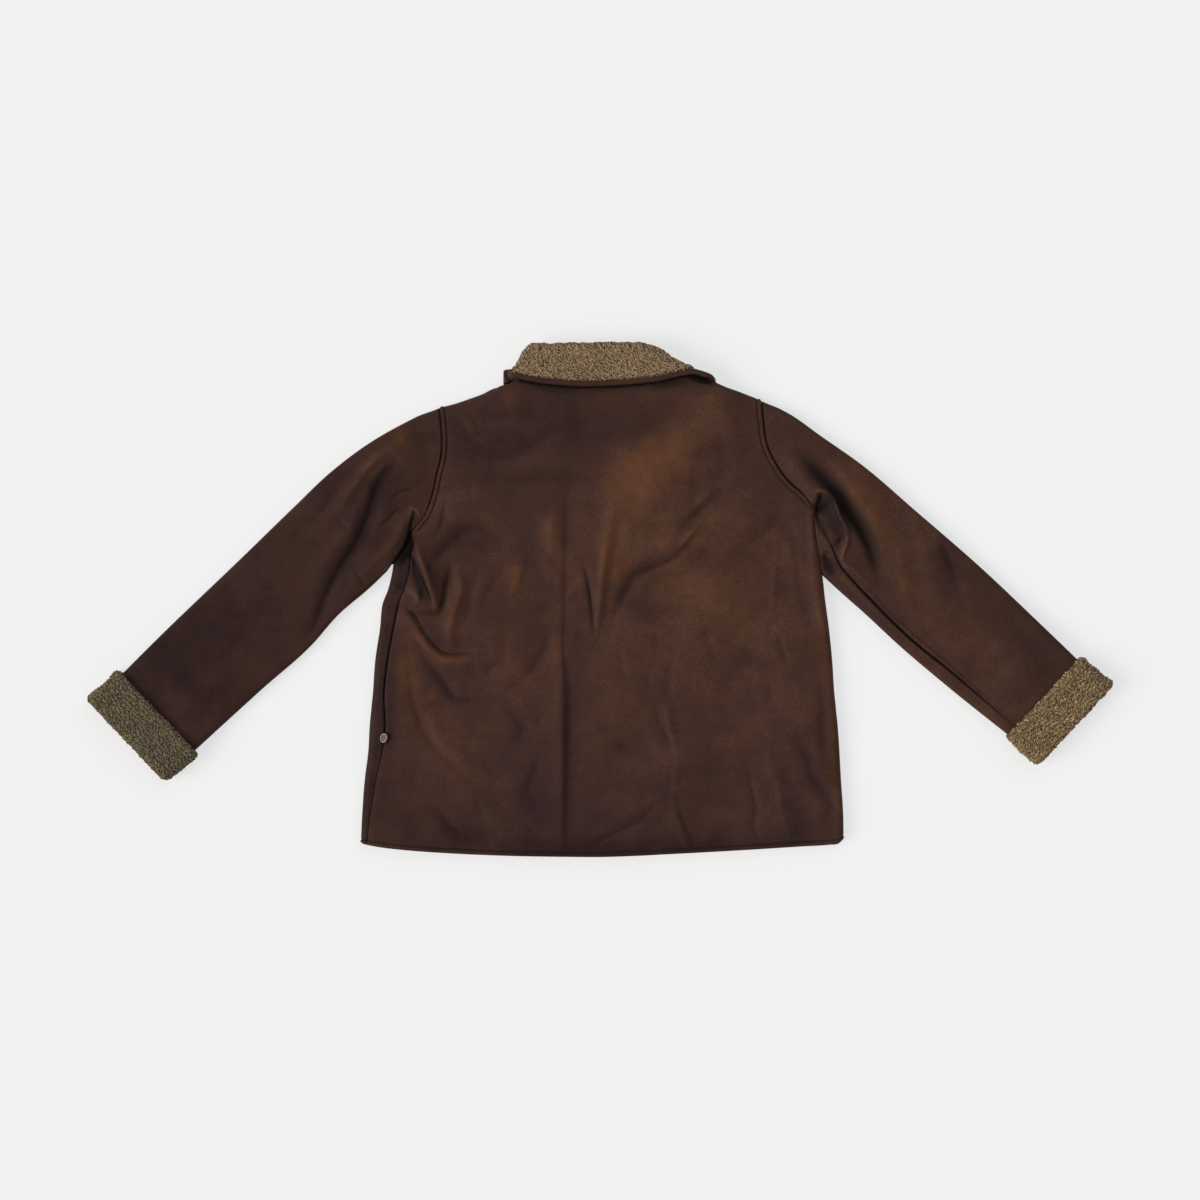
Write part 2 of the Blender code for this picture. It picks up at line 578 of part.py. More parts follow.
def cuff(name, material, top_edge, under_edge, cuff_end):
    """Turned-back cuff: outer wall, folded end, lip round the mouth and inner wall."""
    start, axis = cuff_axis(top_edge, under_edge, cuff_end)
    across = np.linspace(0.0, 1.0, 8)[:, None]
    flat = (start[1] - start[0]) / np.linalg.norm(start[1] - start[0])
    line = start[0] + across * (start[1] - start[0]) + EDGE_RADIUS * (1.0 - 2.0 * across) * flat
    end = CUFF_DEPTH - CUFF_LIP + SEAM_GAP
    fold = (CUFF_OUTSIDE - INSIDE_RADIUS) / 2
    centre = INSIDE_RADIUS + fold
    section = named("along half", [
        (0.0, CUFF_INSIDE + 2.0), (1.0, CUFF_OUTSIDE - 1.4), (4.5, CUFF_OUTSIDE),
        (CUFF_DEPTH / 2, CUFF_OUTSIDE), (end, CUFF_OUTSIDE),
        (end + 0.7 * (CUFF_DEPTH - end), centre + 0.7 * fold), (CUFF_DEPTH, centre),
        (end + 0.7 * (CUFF_DEPTH - end), centre - 0.7 * fold), (end, INSIDE_RADIUS),
        (end, CUFF_INSIDE), (CUFF_DEPTH / 2, CUFF_INSIDE), (0.0, CUFF_INSIDE)])
    rings = [tube_ring(line + axis * step, half, CUFF_OUTSIDE, 0.0)
             for step, half in zip(section["along"], section["half"])]
    return ring_solid(name, rings, material, closed=True)


# ---- Collar ----

def collar_stations():
    """Stations round the flattened neck: X and Z of the turn, direction out, and Y places."""
    stations = []

    def add(x, angle, table):
        row = [np.interp(x, table["x"], table[k]) for k in ("neck", "roll", "leaf")]
        stations.append((x, angle, row))

    for x in np.linspace(COLLAR_END_LEFT, COLLAR_TURN_LEFT + 4.0, 4):
        add(x, math.pi, COLLAR_FRONT)
    for turn, neck, roll, leaf in zip(*TURN_LEFT.values()):
        stations.append((COLLAR_TURN_LEFT, math.radians(turn), (neck, roll, leaf)))
    for x in COLLAR_BACK["x"][1:-1]:
        add(x, 0.0, COLLAR_BACK)
    for turn, neck, roll, leaf in zip(*TURN_RIGHT.values()):
        stations.append((COLLAR_TURN_RIGHT, -math.radians(turn), (neck, roll, leaf)))
    for x in np.linspace(COLLAR_TURN_RIGHT - 4.0, COLLAR_END_RIGHT, 4):
        add(x, -math.pi, COLLAR_FRONT)
    return stations


def collar_ring(station, section):
    """A section's points, given up the jacket and out from the neck, at one station."""
    x, angle, _ = station
    up, out = np.array(section).T
    reach = COLLAR_FOLD_RADIUS + out
    return np.column_stack([x - reach * math.sin(angle), up, NECK_MIDDLE + reach * math.cos(angle)])


def collar_section(neck, roll, leaf):
    """Stand up to the roll line, and leaf down to its thin edge."""
    deep = WALL + LEAF_GAP + LEAF_WALL
    turn = min(6.0, 0.3 * (roll - max(neck, leaf)))
    bulge = min(BINDING_WIDTH + 2.4, 0.5 * (roll - leaf))
    under = WALL + LEAF_GAP
    thin = (under + LEAF_EDGE_LIFT, under + LEAF_EDGE_LIFT + LEAF_EDGE_WALL)
    edge = leaf + BINDING_WIDTH - BINDING_REACH
    pressed = max(leaf + BINDING_WIDTH + 0.3, edge + 0.4)
    shoulder = max(leaf + bulge, pressed + 1.0)
    return [(neck, WALL), (neck, 0.0), (roll - turn, 0.0), (roll - 0.3 * turn, 0.14 * deep),
            (roll, deep / 2), (roll - 0.3 * turn, 0.86 * deep), (roll - turn, deep),
            (max(roll - turn - 0.5, shoulder) - 0.2, deep), (shoulder - 0.4, deep),
            (pressed, thin[1]), (edge, thin[1]), (edge, thin[0]), (pressed, thin[0]),
            (shoulder - 0.4, under), (roll - turn - 0.6, under), (roll - turn - 0.6, WALL)]


def binding_section(neck, roll, leaf):
    """A folded strip round the leaf's thin edge."""
    low = WALL + LEAF_GAP + LEAF_EDGE_LIFT - SEAM_GAP
    high = low + LEAF_EDGE_WALL + 2 * SEAM_GAP
    inside = leaf + BINDING_WIDTH - BINDING_REACH - SEAM_GAP
    rim = leaf + BINDING_WIDTH - SEAM_GAP
    return [(rim, low), (rim, low - BINDING_WALL), (leaf + 1.2, low - BINDING_WALL),
            (leaf, low), (leaf, high), (leaf + 1.2, high + BINDING_WALL),
            (rim, high + BINDING_WALL), (rim, high), (inside, high), (inside, low)]


def collar(name, material, section):
    rings = [collar_ring(station, section(*station[2])) for station in collar_stations()]
    return ring_solid(name, rings, material, closed=False)


# ---- Rivets ----

def rivet(name, material, x, y, seat, up):
    """A low domed cap: a profile turned about its axis, standing off its seat."""
    profile = [(RIVET_RADIUS, 0.0), (RIVET_RADIUS, 0.6), (RIVET_RADIUS * 0.8, RIVET_HEIGHT * 0.75),
               (RIVET_RADIUS * 0.4, RIVET_HEIGHT)]
    turns = 16
    rings = [[(x + radius * math.cos(a), y + radius * math.sin(a), seat + up * height)
              for a in np.arange(turns) * 2 * math.pi / turns] for radius, height in profile]
    return ring_solid(name, rings, material, closed=False)


def main():
    clear_scene()
    suede = (0.045, 0.026, 0.020)
    sherpa = (0.23, 0.17, 0.095)
    body = {name: make_material(name, suede, 0.85) for name in
            ("back", "front_left", "front_right", "sleeve_left", "sleeve_right")}
    back_panel(body["back"])
    left_front(body["front_left"])
    right_front(body["front_right"])
    left = (LEFT_SLEEVE_TOP, LEFT_SLEEVE_UNDER)
    right = (RIGHT_SLEEVE_TOP, RIGHT_SLEEVE_UNDER)
    sleeve("sleeve_left", body["sleeve_left"], *left, LEFT_ARMHOLE, LEFT_CUFF_END, -1)
    sleeve("sleeve_right", body["sleeve_right"], *right, RIGHT_ARMHOLE, RIGHT_CUFF_END, 1)
    cuff("cuff_left", make_material("cuff_left", sherpa, 0.95), *left, LEFT_CUFF_END)
    cuff("cuff_right", make_material("cuff_right", sherpa, 0.95), *right, RIGHT_CUFF_END)
    collar("collar", make_material("collar", sherpa, 0.95), collar_section)
    binding = make_material("collar_binding", (0.05, 0.022, 0.018), 0.8)
    collar("collar_binding", binding, binding_section)
    metal = make_material("rivet", (0.42, 0.35, 0.32), 0.35, 1.0)
    left_x = np.interp(RIVET_Y, LEFT_SIDE["y"], LEFT_SIDE["edge"] + LEFT_SIDE["seam"])
    near = left_x + np.array([-10.0, -5.0, 0.0, 5.0, 10.0])
    height = np.max(top_fold(*np.meshgrid(near, RIVET_Y + near - left_x)))
    rivet("rivet_left", metal, left_x, RIVET_Y, 2 * EDGE_RADIUS + height + SEAM_GAP, 1)
    rivet("rivet_right", metal.copy(), right_seam_x(), RIVET_Y, DIMPLE_DEPTH - SEAM_GAP, -1)


main()
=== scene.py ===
import math

import bpy
import numpy as np
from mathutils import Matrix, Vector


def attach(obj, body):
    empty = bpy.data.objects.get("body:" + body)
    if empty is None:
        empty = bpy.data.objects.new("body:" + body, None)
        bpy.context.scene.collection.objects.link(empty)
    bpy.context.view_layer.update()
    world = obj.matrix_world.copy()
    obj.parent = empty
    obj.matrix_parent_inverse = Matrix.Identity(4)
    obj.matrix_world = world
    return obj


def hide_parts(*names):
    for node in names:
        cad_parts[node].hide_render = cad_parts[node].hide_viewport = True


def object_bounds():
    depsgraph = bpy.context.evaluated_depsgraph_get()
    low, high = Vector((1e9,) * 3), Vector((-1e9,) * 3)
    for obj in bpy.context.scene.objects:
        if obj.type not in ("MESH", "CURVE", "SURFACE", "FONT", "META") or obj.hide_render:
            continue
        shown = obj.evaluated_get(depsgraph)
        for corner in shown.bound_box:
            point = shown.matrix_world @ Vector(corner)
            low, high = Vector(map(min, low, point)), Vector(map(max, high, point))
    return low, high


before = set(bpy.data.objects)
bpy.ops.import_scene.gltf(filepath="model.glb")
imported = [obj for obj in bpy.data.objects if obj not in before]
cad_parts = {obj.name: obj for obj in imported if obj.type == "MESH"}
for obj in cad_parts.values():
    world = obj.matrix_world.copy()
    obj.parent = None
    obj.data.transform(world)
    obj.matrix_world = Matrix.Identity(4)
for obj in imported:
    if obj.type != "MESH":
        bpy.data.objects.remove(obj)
cadLow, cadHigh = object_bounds()

mm = 0.001  # shapes below are worked out in millimetres, and put into meshes in metres
render = bpy.context.scene


# Curves, tables and routes

def table(names, rows):
    # one array for each named column
    return dict(zip(names.split(), np.array(rows, float).T))


def smooth(low, high, value):
    # 0 below low, 1 above high, 3t^2 - 2t^3 between
    t = np.clip((value - low) / (high - low), 0.0, 1.0)
    return t * t * (3.0 - 2.0 * t)


def hump(away, width):
    # e^-(away/width)^2: 1 on a line, soft on both sides of it
    return np.exp(-((away / width) ** 2))


def unit(vectors):
    # each vector with length 1
    return vectors / np.linalg.norm(vectors, axis=-1, keepdims=True)


def pointsOf(line):
    # a table's x and y as points
    return np.column_stack([line["x"], line["y"]])


def lengthAlong(points):
    # run of the straight line through the points, at each of them
    return np.r_[0.0, np.cumsum(np.linalg.norm(np.diff(points, axis=0), axis=1))]


def softAt(value, places, heights):
    # cubic through a table's points, with each slope taken from the neighbours on both sides
    slope = np.gradient(heights, places)
    span = np.clip(np.searchsorted(places, value, side="right") - 1, 0, len(places) - 2)
    size = places[span + 1] - places[span]
    t = np.clip((value - places[span]) / size, 0.0, 1.0)
    return ((2 * t**3 - 3 * t**2 + 1) * heights[span] + (t**3 - 2 * t**2 + t) * size * slope[span]
            + (3 * t**2 - 2 * t**3) * heights[span + 1] + (t**3 - t**2) * size * slope[span + 1])


def routeThrough(points, parts):
    # points at the given parts of the length of a soft curve through a route's points
    points = np.asarray(points, float)
    if len(points) == 2:
        return points[0] + np.asarray(parts)[:, None] * (points[1] - points[0])
    chord = lengthAlong(points)
    place = np.linspace(0.0, chord[-1], 500)
    curve = np.column_stack([softAt(place, chord, column) for column in points.T])
    length = lengthAlong(curve)
    wanted = np.asarray(parts) * length[-1]
    return np.column_stack([np.interp(wanted, length, column) for column in curve.T])


def offRoute(x, y, route):
    # distance to a route's straight runs, how far to its left (1) or right (-1), and the part reached
    best, lean, part = np.full(x.shape, 1e9), np.zeros(x.shape), np.zeros(x.shape)
    runs = np.hypot(*np.diff(route, axis=0).T)
    start = np.r_[0.0, np.cumsum(runs)]
    for k, run in enumerate(runs):
        step = (route[k + 1] - route[k]) / run
        dx, dy = x - route[k, 0], y - route[k, 1]
        t = np.clip(dx * step[0] + dy * step[1], 0.0, run)
        away = np.hypot(dx - t * step[0], dy - t * step[1])
        nearer = away < best
        best = np.where(nearer, away, best)
        lean = np.where(nearer, (step[0] * dy - step[1] * dx) / np.maximum(away, 1e-6), lean)
        part = np.where(nearer, (start[k] + t) / start[-1], part)
    return best, lean, part


def bellAlong(x, y, leftHalf, rightHalf, points, power=1.7):
    # e^-(d/half)^power across a soft route, lower towards its ends, with a half width for each side
    line = routeThrough(points, np.linspace(0.0, 1.0, 6 * len(points) - 5))
    reach = 2.8 * max(leftHalf, rightHalf)
    low, high = line.min(axis=0) - reach, line.max(axis=0) + reach
    near = (x > low[0]) & (x < high[0]) & (y > low[1]) & (y < high[1])
    bell = np.zeros(x.shape)
    away, lean, part = offRoute(x[near], y[near], line)
    half = (leftHalf + rightHalf) / 2 + np.clip(lean, -1, 1) * (leftHalf - rightHalf) / 2
    bell[near] = (0.25 + 0.75 * np.sin(math.pi * part) ** 0.7) * np.exp(-(away / half) ** power)
    return bell


# Meshes

def addMesh(name, points, faceSets, material, attributes=()):
    # faceSets: arrays of faces, each with as many corners as it has columns
    mesh = bpy.data.meshes.new(name)
    corners = np.concatenate([f.ravel() for f in faceSets]).astype(np.int32)
    sizes = np.concatenate([np.full(len(f), f.shape[1]) for f in faceSets])
    mesh.vertices.add(len(points))
    mesh.vertices.foreach_set("co", (points * mm).astype(np.float32).ravel())
    mesh.loops.add(len(corners))
    mesh.loops.foreach_set("vertex_index", corners)
    mesh.polygons.add(len(sizes))
    mesh.polygons.foreach_set("loop_start", np.r_[0, np.cumsum(sizes)[:-1]].astype(np.int32))
    mesh.update(calc_edges=True)
    mesh.polygons.foreach_set("use_smooth", np.ones(len(sizes), bool))
    mesh.update()
    for label, values in attributes:
        layer = mesh.attributes.new(label, "FLOAT", "POINT")
        layer.data.foreach_set("value", np.asarray(values, np.float32).ravel())
    mesh.materials.append(material)
    thing = bpy.data.objects.new(name, mesh)
    render.collection.objects.link(thing)
    return thing


def gridQuads(index, wrap=False):
    # quads between neighbouring rows and columns of a grid of vertex numbers
    if wrap:
        index = np.column_stack([index, index[:, :1]])
    return np.stack([index[:-1, :-1], index[:-1, 1:], index[1:, 1:], index[1:, :-1]], -1).reshape(-1, 4)


def sixVolumes(points, faces):
    # six times the volume held by fans of triangles from each face's first corner
    total = 0.0
    for k in range(1, faces.shape[1] - 1):
        a, b, c = (points[faces[:, j]] for j in (0, k, k + 1))
        total += np.einsum("ij,ij->", a, np.cross(b, c))
    return total


def outward(points, faces):
    # the same faces, turned round if they hold a negative volume
    return [f[:, ::-1] for f in faces] if sum(sixVolumes(points, f) for f in faces) < 0 else faces


def settle(piece, node=None):
    # the jacket is one body; a shell or a cap also stands for its plain solid
    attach(piece, "root")
    if node:
        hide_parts(node)
    return piece


def clothShell(name, outer, inner, material, attributes=(), wrap=False, every=4):
    # a closed wall: a fine outer grid, a coarse inner one, and rims that join every fourth edge
    rows, across = outer.shape[:2]
    rowAt = np.unique(np.r_[np.arange(0, rows, every), rows - 1])
    colAt = np.arange(0, across, every)
    if not wrap:
        colAt = np.unique(np.r_[colAt, across - 1])
    coarse = inner[rowAt][:, colAt]
    outIndex = np.arange(rows * across).reshape(rows, across)
    inIndex = rows * across + np.arange(len(rowAt) * len(colAt)).reshape(len(rowAt), len(colAt))
    faces = [gridQuads(outIndex, wrap), gridQuads(inIndex, wrap)[:, ::-1]]

    def rim(outLine, inLine, at, back):
        # faces of one size together: a run of the outer edge and two points of the inner one
        bySize = {}
        for k in range(len(at) - 1):
            face = list(outLine[at[k]:at[k + 1] + 1][::-1]) + [inLine[k], inLine[k + 1]]
            bySize.setdefault(len(face), []).append(face[::-1] if back else face)
        return [np.array(group) for group in bySize.values()]

    if wrap:
        around = np.r_[colAt, across]
        for r, k, back in ((0, 0, False), (rows - 1, len(rowAt) - 1, True)):
            faces += rim(np.r_[outIndex[r], outIndex[r, 0]], np.r_[inIndex[k], inIndex[k, 0]], around, back)
    else:
        faces += rim(outIndex[0], inIndex[0], colAt, False) + rim(outIndex[-1], inIndex[-1], colAt, True)
        faces += rim(outIndex[:, 0], inIndex[:, 0], rowAt, True)
        faces += rim(outIndex[:, -1], inIndex[:, -1], rowAt, False)
    points = np.concatenate([outer.reshape(-1, 3), coarse.reshape(-1, 3)])
    points[:, 2] = np.maximum(points[:, 2], 0.0)
    values = [(label, np.r_[v.ravel(), v[rowAt][:, colAt].ravel()]) for label, v in attributes]
    return addMesh(name, points, outward(points, faces), material, values)


def ringFaces(shape, closed):
    # rings joined in turn: back to the first one, or with a flat cap at both ends
    index = np.arange(shape[0] * shape[1]).reshape(shape)
    if closed:
        return [gridQuads(np.vstack([index, index[:1]]), wrap=True)]
    return [gridQuads(index, wrap=True), index[:1, ::-1], index[-1:]]


def ringBody(name, rings, material, closed, attributes=()):
    # a closed body of rings of points
    points = rings.reshape(-1, 3)
    return addMesh(name, points, outward(points, ringFaces(rings.shape[:2], closed)), material, attributes)


def threads(name, centre, flatWay, upWay, radius, sides, floor, material, attributes=()):
    # a short capped tube about each row of centres, no lower than the floor
    count, rings = centre.shape[:2]
    angle = np.arange(sides) * 2 * math.pi / sides
    points = centre[:, :, None] + radius[..., None, None] * (
        np.cos(angle)[:, None] * flatWay[:, :, None] + np.sin(angle)[:, None] * upWay[:, :, None])
    points[..., 2] = np.maximum(points[..., 2], floor)
    points = points.reshape(-1, 3)
    one = outward(points[:rings * sides], ringFaces((rings, sides), False))
    shift = np.arange(count)[:, None, None] * rings * sides
    faces = [(f[None] + shift).reshape(-1, f.shape[1]) for f in one]
    return addMesh(name, points, faces, material, attributes)


def columnsBetween(start, end, near, middle):
    # places from start to end for each row: set distances from each end, the rest even
    start, end = np.asarray(start, float)[:, None], np.asarray(end, float)[:, None]
    first, last = start + near, end - near[::-1]
    part = np.linspace(0.0, 1.0, middle + 2)[None, 1:-1]
    return np.hstack([first, first[:, -1:] + part * (last[:, :1] - first[:, -1:]), last])


# Materials

def nodeMaker(material):
    # a function that adds a node, sets its inputs or links sockets to them, and sets its options
    tree = material.node_tree

    def add(kind, values=(), **settings):
        node = tree.nodes.new(kind)
        for key, value in settings.items():
            setattr(node, key, value)
        for key, value in dict(values).items():
            if isinstance(value, bpy.types.NodeSocket):
                tree.links.new(value, node.inputs[key])
            else:
                node.inputs[key].default_value = value
        return node
    return add


def newMaterial(name, **shaderValues):
    # its shader with the given inputs; an underscore stands for a space in their names
    material = bpy.data.materials.new(name)
    material.use_nodes = True
    shader = material.node_tree.nodes["Principled BSDF"]
    for key, value in shaderValues.items():
        shader.inputs[key.replace("_", " ")].default_value = value
    return material, shader, nodeMaker(material)


def arith(add, operation, a, b, clamp=False):
    # one sum or product; kept from 0 to 1 with the clamp
    return add("ShaderNodeMath", {0: a, 1: b}, operation=operation, use_clamp=clamp).outputs[0]


def noiseAt(add, place, scale, detail=2.0, rough=0.5):
    # soft noise from 0 to 1, with about scale blotches to the metre
    return add("ShaderNodeTexNoise", {"Vector": place, "Scale": scale, "Detail": detail,
                                      "Roughness": rough}).outputs["Fac"]


def aboutMiddle(add, noise, share):
    # a noise less its middle, times its share
    return arith(add, "MULTIPLY", arith(add, "SUBTRACT", noise, 0.5), share)


def mixColours(add, part, a, b, blend="MIX"):
    # a where the part is 0; where it is 1, b, or a times b with the blend MULTIPLY
    node = add("ShaderNodeMix", data_type="RGBA", blend_type=blend)
    for socket, value in zip((node.inputs[0], node.inputs[6], node.inputs[7]), (part, a, b)):
        if isinstance(value, bpy.types.NodeSocket):
            node.id_data.links.new(value, socket)
        else:
            socket.default_value = value
    return node.outputs[2]


def threeColours(add, level, dark, middlePlace, middle, light, darkPlace=0.0):
    # straight blends from dark to middle to light, which is reached at 1
    ramp = add("ShaderNodeValToRGB", {"Fac": level})
    stops = ramp.color_ramp.elements
    stops[0].position, stops[0].color = darkPlace, dark
    stops[1].position, stops[1].color = 1.0, light
    stops.new(middlePlace).color = middle
    return ramp.outputs["Color"]


def finishMaterial(material, shader, add, colour, height, strength, depth):
    # colour and fine relief onto the shader
    bump = add("ShaderNodeBump", {"Height": height, "Strength": strength, "Distance": depth})
    material.node_tree.links.new(colour, shader.inputs["Base Color"])
    material.node_tree.links.new(bump.outputs["Normal"], shader.inputs["Normal"])
    return material


suedeLook = {
    "deep": (0.0188, 0.0090, 0.0084, 1.0),
    "middle": (0.0512, 0.0233, 0.0163, 1.0),
    "light": (0.1255, 0.0552, 0.0326, 1.0),
    "warmTint": (1.06, 0.95, 0.68, 1.0),
    "coolTint": (0.76, 0.77, 1.08, 1.0),
    # painted shade: near-black, mixed in where light hardly gets in
    "creviceShade": (0.0012, 0.0007, 0.0006, 1.0),
    "roughness": 0.60,
    "sheen": 0.03,
    # scale, detail and roughness of each noise, and its share of the lightness or of the hue
    "clouds": (14.0, 3.0, 0.55, 0.55),
    "blotches": (48.0, 3.0, 0.60, 0.34),
    "grain": (560.0, 2.0, 0.70, 0.66),
    "speck": (1200.0, 1.0, 0.50, 0.42),
    "drift": (19.0, 3.0, 0.50, 1.9),
}


def suedeMaterial(name, shift=0.0):
    # brown felted suede; the shift makes all of it lighter or darker
    look = suedeLook
    material, shader, add = newMaterial(
        name, Roughness=look["roughness"], Sheen_Weight=look["sheen"], Sheen_Roughness=0.4,
        Sheen_Tint=(0.8, 0.6, 0.5, 1.0), Specular_IOR_Level=0.07)
    place = add("ShaderNodeTexCoord").outputs["Object"]
    # the tone and warmth hold painted light and shade as well as the cloth's own mottling; the gap is
    # painted shade where light hardly gets in
    tone, warmth, gap = (add("ShaderNodeAttribute", attribute_name=label).outputs["Fac"]
                         for label in ("tone", "warmth", "gap"))
    # lightness: 0.5, plus half the tone, plus clouds, blotches, grain and specks about their middles
    level = arith(add, "ADD", arith(add, "MULTIPLY", tone, 0.5), 0.5 + shift)
    noises = {}
    for label in ("clouds", "blotches", "grain", "speck"):
        *shape, share = look[label]
        noises[label] = noiseAt(add, place, *shape)
        level = arith(add, "ADD", level, aboutMiddle(add, noises[label], share))
    colour = threeColours(add, level, look["deep"], 0.5, look["middle"], look["light"])
    # hue: the warmth, plus a drift of its own, tints towards russet or towards plum
    *shape, share = look["drift"]
    hue = arith(add, "ADD", warmth, aboutMiddle(add, noiseAt(add, place, *shape), share))
    for strength, tint in ((0.75, look["warmTint"]), (-0.75, look["coolTint"])):
        part = arith(add, "MULTIPLY", hue, strength, clamp=True)
        colour = mixColours(add, part, colour, tint, "MULTIPLY")
    # painted shade: blend towards near-black as far as the gap attribute, where light hardly gets in
    colour = mixColours(add, arith(add, "MULTIPLY", gap, 0.96, clamp=True), colour, look["creviceShade"])
    # nap: 0.6 grain, 0.4 specks and 0.8 wider dimples of the bonded cloth
    height = arith(add, "ADD", arith(add, "MULTIPLY", noises["grain"], 0.6),
                   arith(add, "MULTIPLY", noises["speck"], 0.4))
    height = arith(add, "ADD", height, arith(add, "MULTIPLY", noiseAt(add, place, 160.0), 0.8))
    return finishMaterial(material, shader, add, colour, height, 0.35, 0.0007)


sherpaLook = {
    # dark root to light tip: the locks' painted shade at their ends and undersides falls towards the root,
    # their painted light on top towards the tip
    "root": (0.048, 0.025, 0.013, 1.0),
    "curl": (0.170, 0.112, 0.060, 1.0),
    "tip": (0.420, 0.305, 0.180, 1.0),
    "coolTint": (0.78, 0.85, 0.90, 1.0),
    "tufts": (260.0, 0.9),      # scale, share of the lightness
    "wool": (700.0, 0.5),
    "bandScale": 150.0,         # winding rows 2 to 3 mm apart
    "bandWinding": 11.0,
}


def sherpaMaterial(name, tint, backing=0.0, rows=0.6, wool=1.0):
    # curled wool, with shares for its rows and its tufts; with a backing, the cloth under the locks, kept
    # dark as painted shade deep in the pile
    look = sherpaLook
    material, shader, add = newMaterial(
        name, Roughness=0.92, Sheen_Weight=0.15, Sheen_Roughness=0.6,
        Sheen_Tint=(0.9, 0.8, 0.6, 1.0), Specular_IOR_Level=0.12)
    place = add("ShaderNodeTexCoord").outputs["Object"]
    if backing:
        level = arith(add, "MULTIPLY", noiseAt(add, place, 420.0), backing)
    else:
        # lightness: each lock's shade, its own random lightness with painted light on its top and middle
        # and painted shade at its ends, plus winding bands, tufts and finer wool about their middles
        level = add("ShaderNodeAttribute", attribute_name="shade").outputs["Fac"]
        bands = add("ShaderNodeTexWave", {
            "Vector": place, "Scale": look["bandScale"], "Distortion": look["bandWinding"], "Detail": 2.0,
            "Detail Scale": 1.1, "Detail Roughness": 0.6}, bands_direction="DIAGONAL").outputs["Fac"]
        level = arith(add, "ADD", level, aboutMiddle(add, bands, rows))
        for scale, share in (look["tufts"], look["wool"]):
            level = arith(add, "ADD", level, aboutMiddle(add, noiseAt(add, place, scale), share * wool))
    colour = threeColours(add, level, look["root"], 0.55, look["curl"], look["tip"], 0.05)
    # hue: cooler in clouds, then tinted as much as it is light, so that the roots stay brown
    cool = arith(add, "MULTIPLY", aboutMiddle(add, noiseAt(add, place, 24.0), 2.0), 1.2, clamp=True)
    colour = mixColours(add, cool, colour, look["coolTint"], "MULTIPLY")
    colour = mixColours(add, level, colour, tint, "MULTIPLY")
    return finishMaterial(material, shader, add, colour, noiseAt(add, place, 1300.0), 0.5, 0.0006)


def threadMaterial():
    # dark brown, blended by noise between two close shades
    material, shader, add = newMaterial("threadDark", Roughness=0.6, Specular_IOR_Level=0.3)
    place = add("ShaderNodeTexCoord").outputs["Object"]
    colour = mixColours(add, noiseAt(add, place, 900.0), (0.010, 0.006, 0.005, 1), (0.030, 0.017, 0.013, 1))
    material.node_tree.links.new(colour, shader.inputs["Base Color"])
    return material


def rivetMaterial():
    # brushed rim, and a darker face where the shade is 0, painted shade in its sunken middle; roughness is
    # 0.42 plus a quarter of the brushing
    material, shader, add = newMaterial("rivetNickel", Metallic=0.7, Specular_IOR_Level=0.2)
    place = add("ShaderNodeTexCoord").outputs["Object"]
    brushed = noiseAt(add, place, 900.0, 3.0)
    shade = add("ShaderNodeAttribute", attribute_name="shade").outputs["Fac"]
    face = mixColours(add, brushed, (0.085, 0.062, 0.055, 1), (0.135, 0.102, 0.092, 1))
    rim = mixColours(add, brushed, (0.23, 0.180, 0.165, 1), (0.38, 0.31, 0.29, 1))
    rough = arith(add, "MULTIPLY_ADD", brushed, 0.25)
    rough.node.inputs[2].default_value = 0.42
    material.node_tree.links.new(mixColours(add, shade, face, rim), shader.inputs["Base Color"])
    material.node_tree.links.new(rough, shader.inputs["Roughness"])
    return material


# Room: camera, lamps and floor

room = {
    "viewWidth": 1.44,      # metres across the view, at the middle of the jacket's height
    "lens": 150.0,
    "floor": 0.25,
    "floorSide": 12000.0,
    "floorDrop": 0.2,       # just below the cloth
    "floorGlow": 0.636,     # a light table: it keeps shadows on the floor faint
    "sky": 0.44,
    "skyColour": (0.95, 0.99, 1.05, 1.0),
    # place, strength, spread in degrees and colour of each lamp
    "keyLamp": ((-2.0, -0.55, 1.45), 2.62, 40, (1.0, 0.94, 0.86)),
    "fillLamp": ((0.9, 1.7, 1.8), 0.62, 60, (0.95, 0.96, 1.0)),
}


def buildRoom():
    # camera straight above the middle of the box, two wide lamps, an even sky and a pale floor
    middle = (cadLow + cadHigh) / 2
    camera = bpy.data.objects.new("camera", bpy.data.cameras.new("camera"))
    camera.data.lens = room["lens"]
    height = room["viewWidth"] * room["lens"] / camera.data.sensor_width
    camera.location = (middle.x, 0.0, middle.z + height)
    render.collection.objects.link(camera)
    render.camera = camera

    for name in ("keyLamp", "fillLamp"):
        place, strength, spread, colour = room[name]
        data = bpy.data.lights.new(name, "SUN")
        data.energy, data.angle, data.color = strength, math.radians(spread), colour
        lamp = bpy.data.objects.new(name, data)
        lamp.location = place
        lamp.rotation_euler = (-lamp.location).to_track_quat("-Z", "Y").to_euler()
        render.collection.objects.link(lamp)
    render.view_settings.view_transform = "Standard"
    world = bpy.data.worlds.new("studio")
    world.use_nodes = True
    background = world.node_tree.nodes["Background"]
    background.inputs["Color"].default_value = room["skyColour"]
    background.inputs["Strength"].default_value = room["sky"]
    render.world = world
    material, _, _ = newMaterial(
        "paleFloor", Base_Color=(room["floor"],) * 3 + (1.0,), Roughness=0.9, Specular_IOR_Level=0.0,
        Emission_Color=(1.0, 1.0, 1.0, 1.0), Emission_Strength=room["floorGlow"])
    corners = np.array([(-1, -1), (1, -1), (1, 1), (-1, 1)]) * room["floorSide"] / 2
    corners = np.column_stack([corners, np.full(4, -room["floorDrop"])])
    addMesh("floor", corners, [np.array([[0, 1, 2, 3]])], material)


# Body: outlines, seams and folds, in millimetres from the middle of the outline

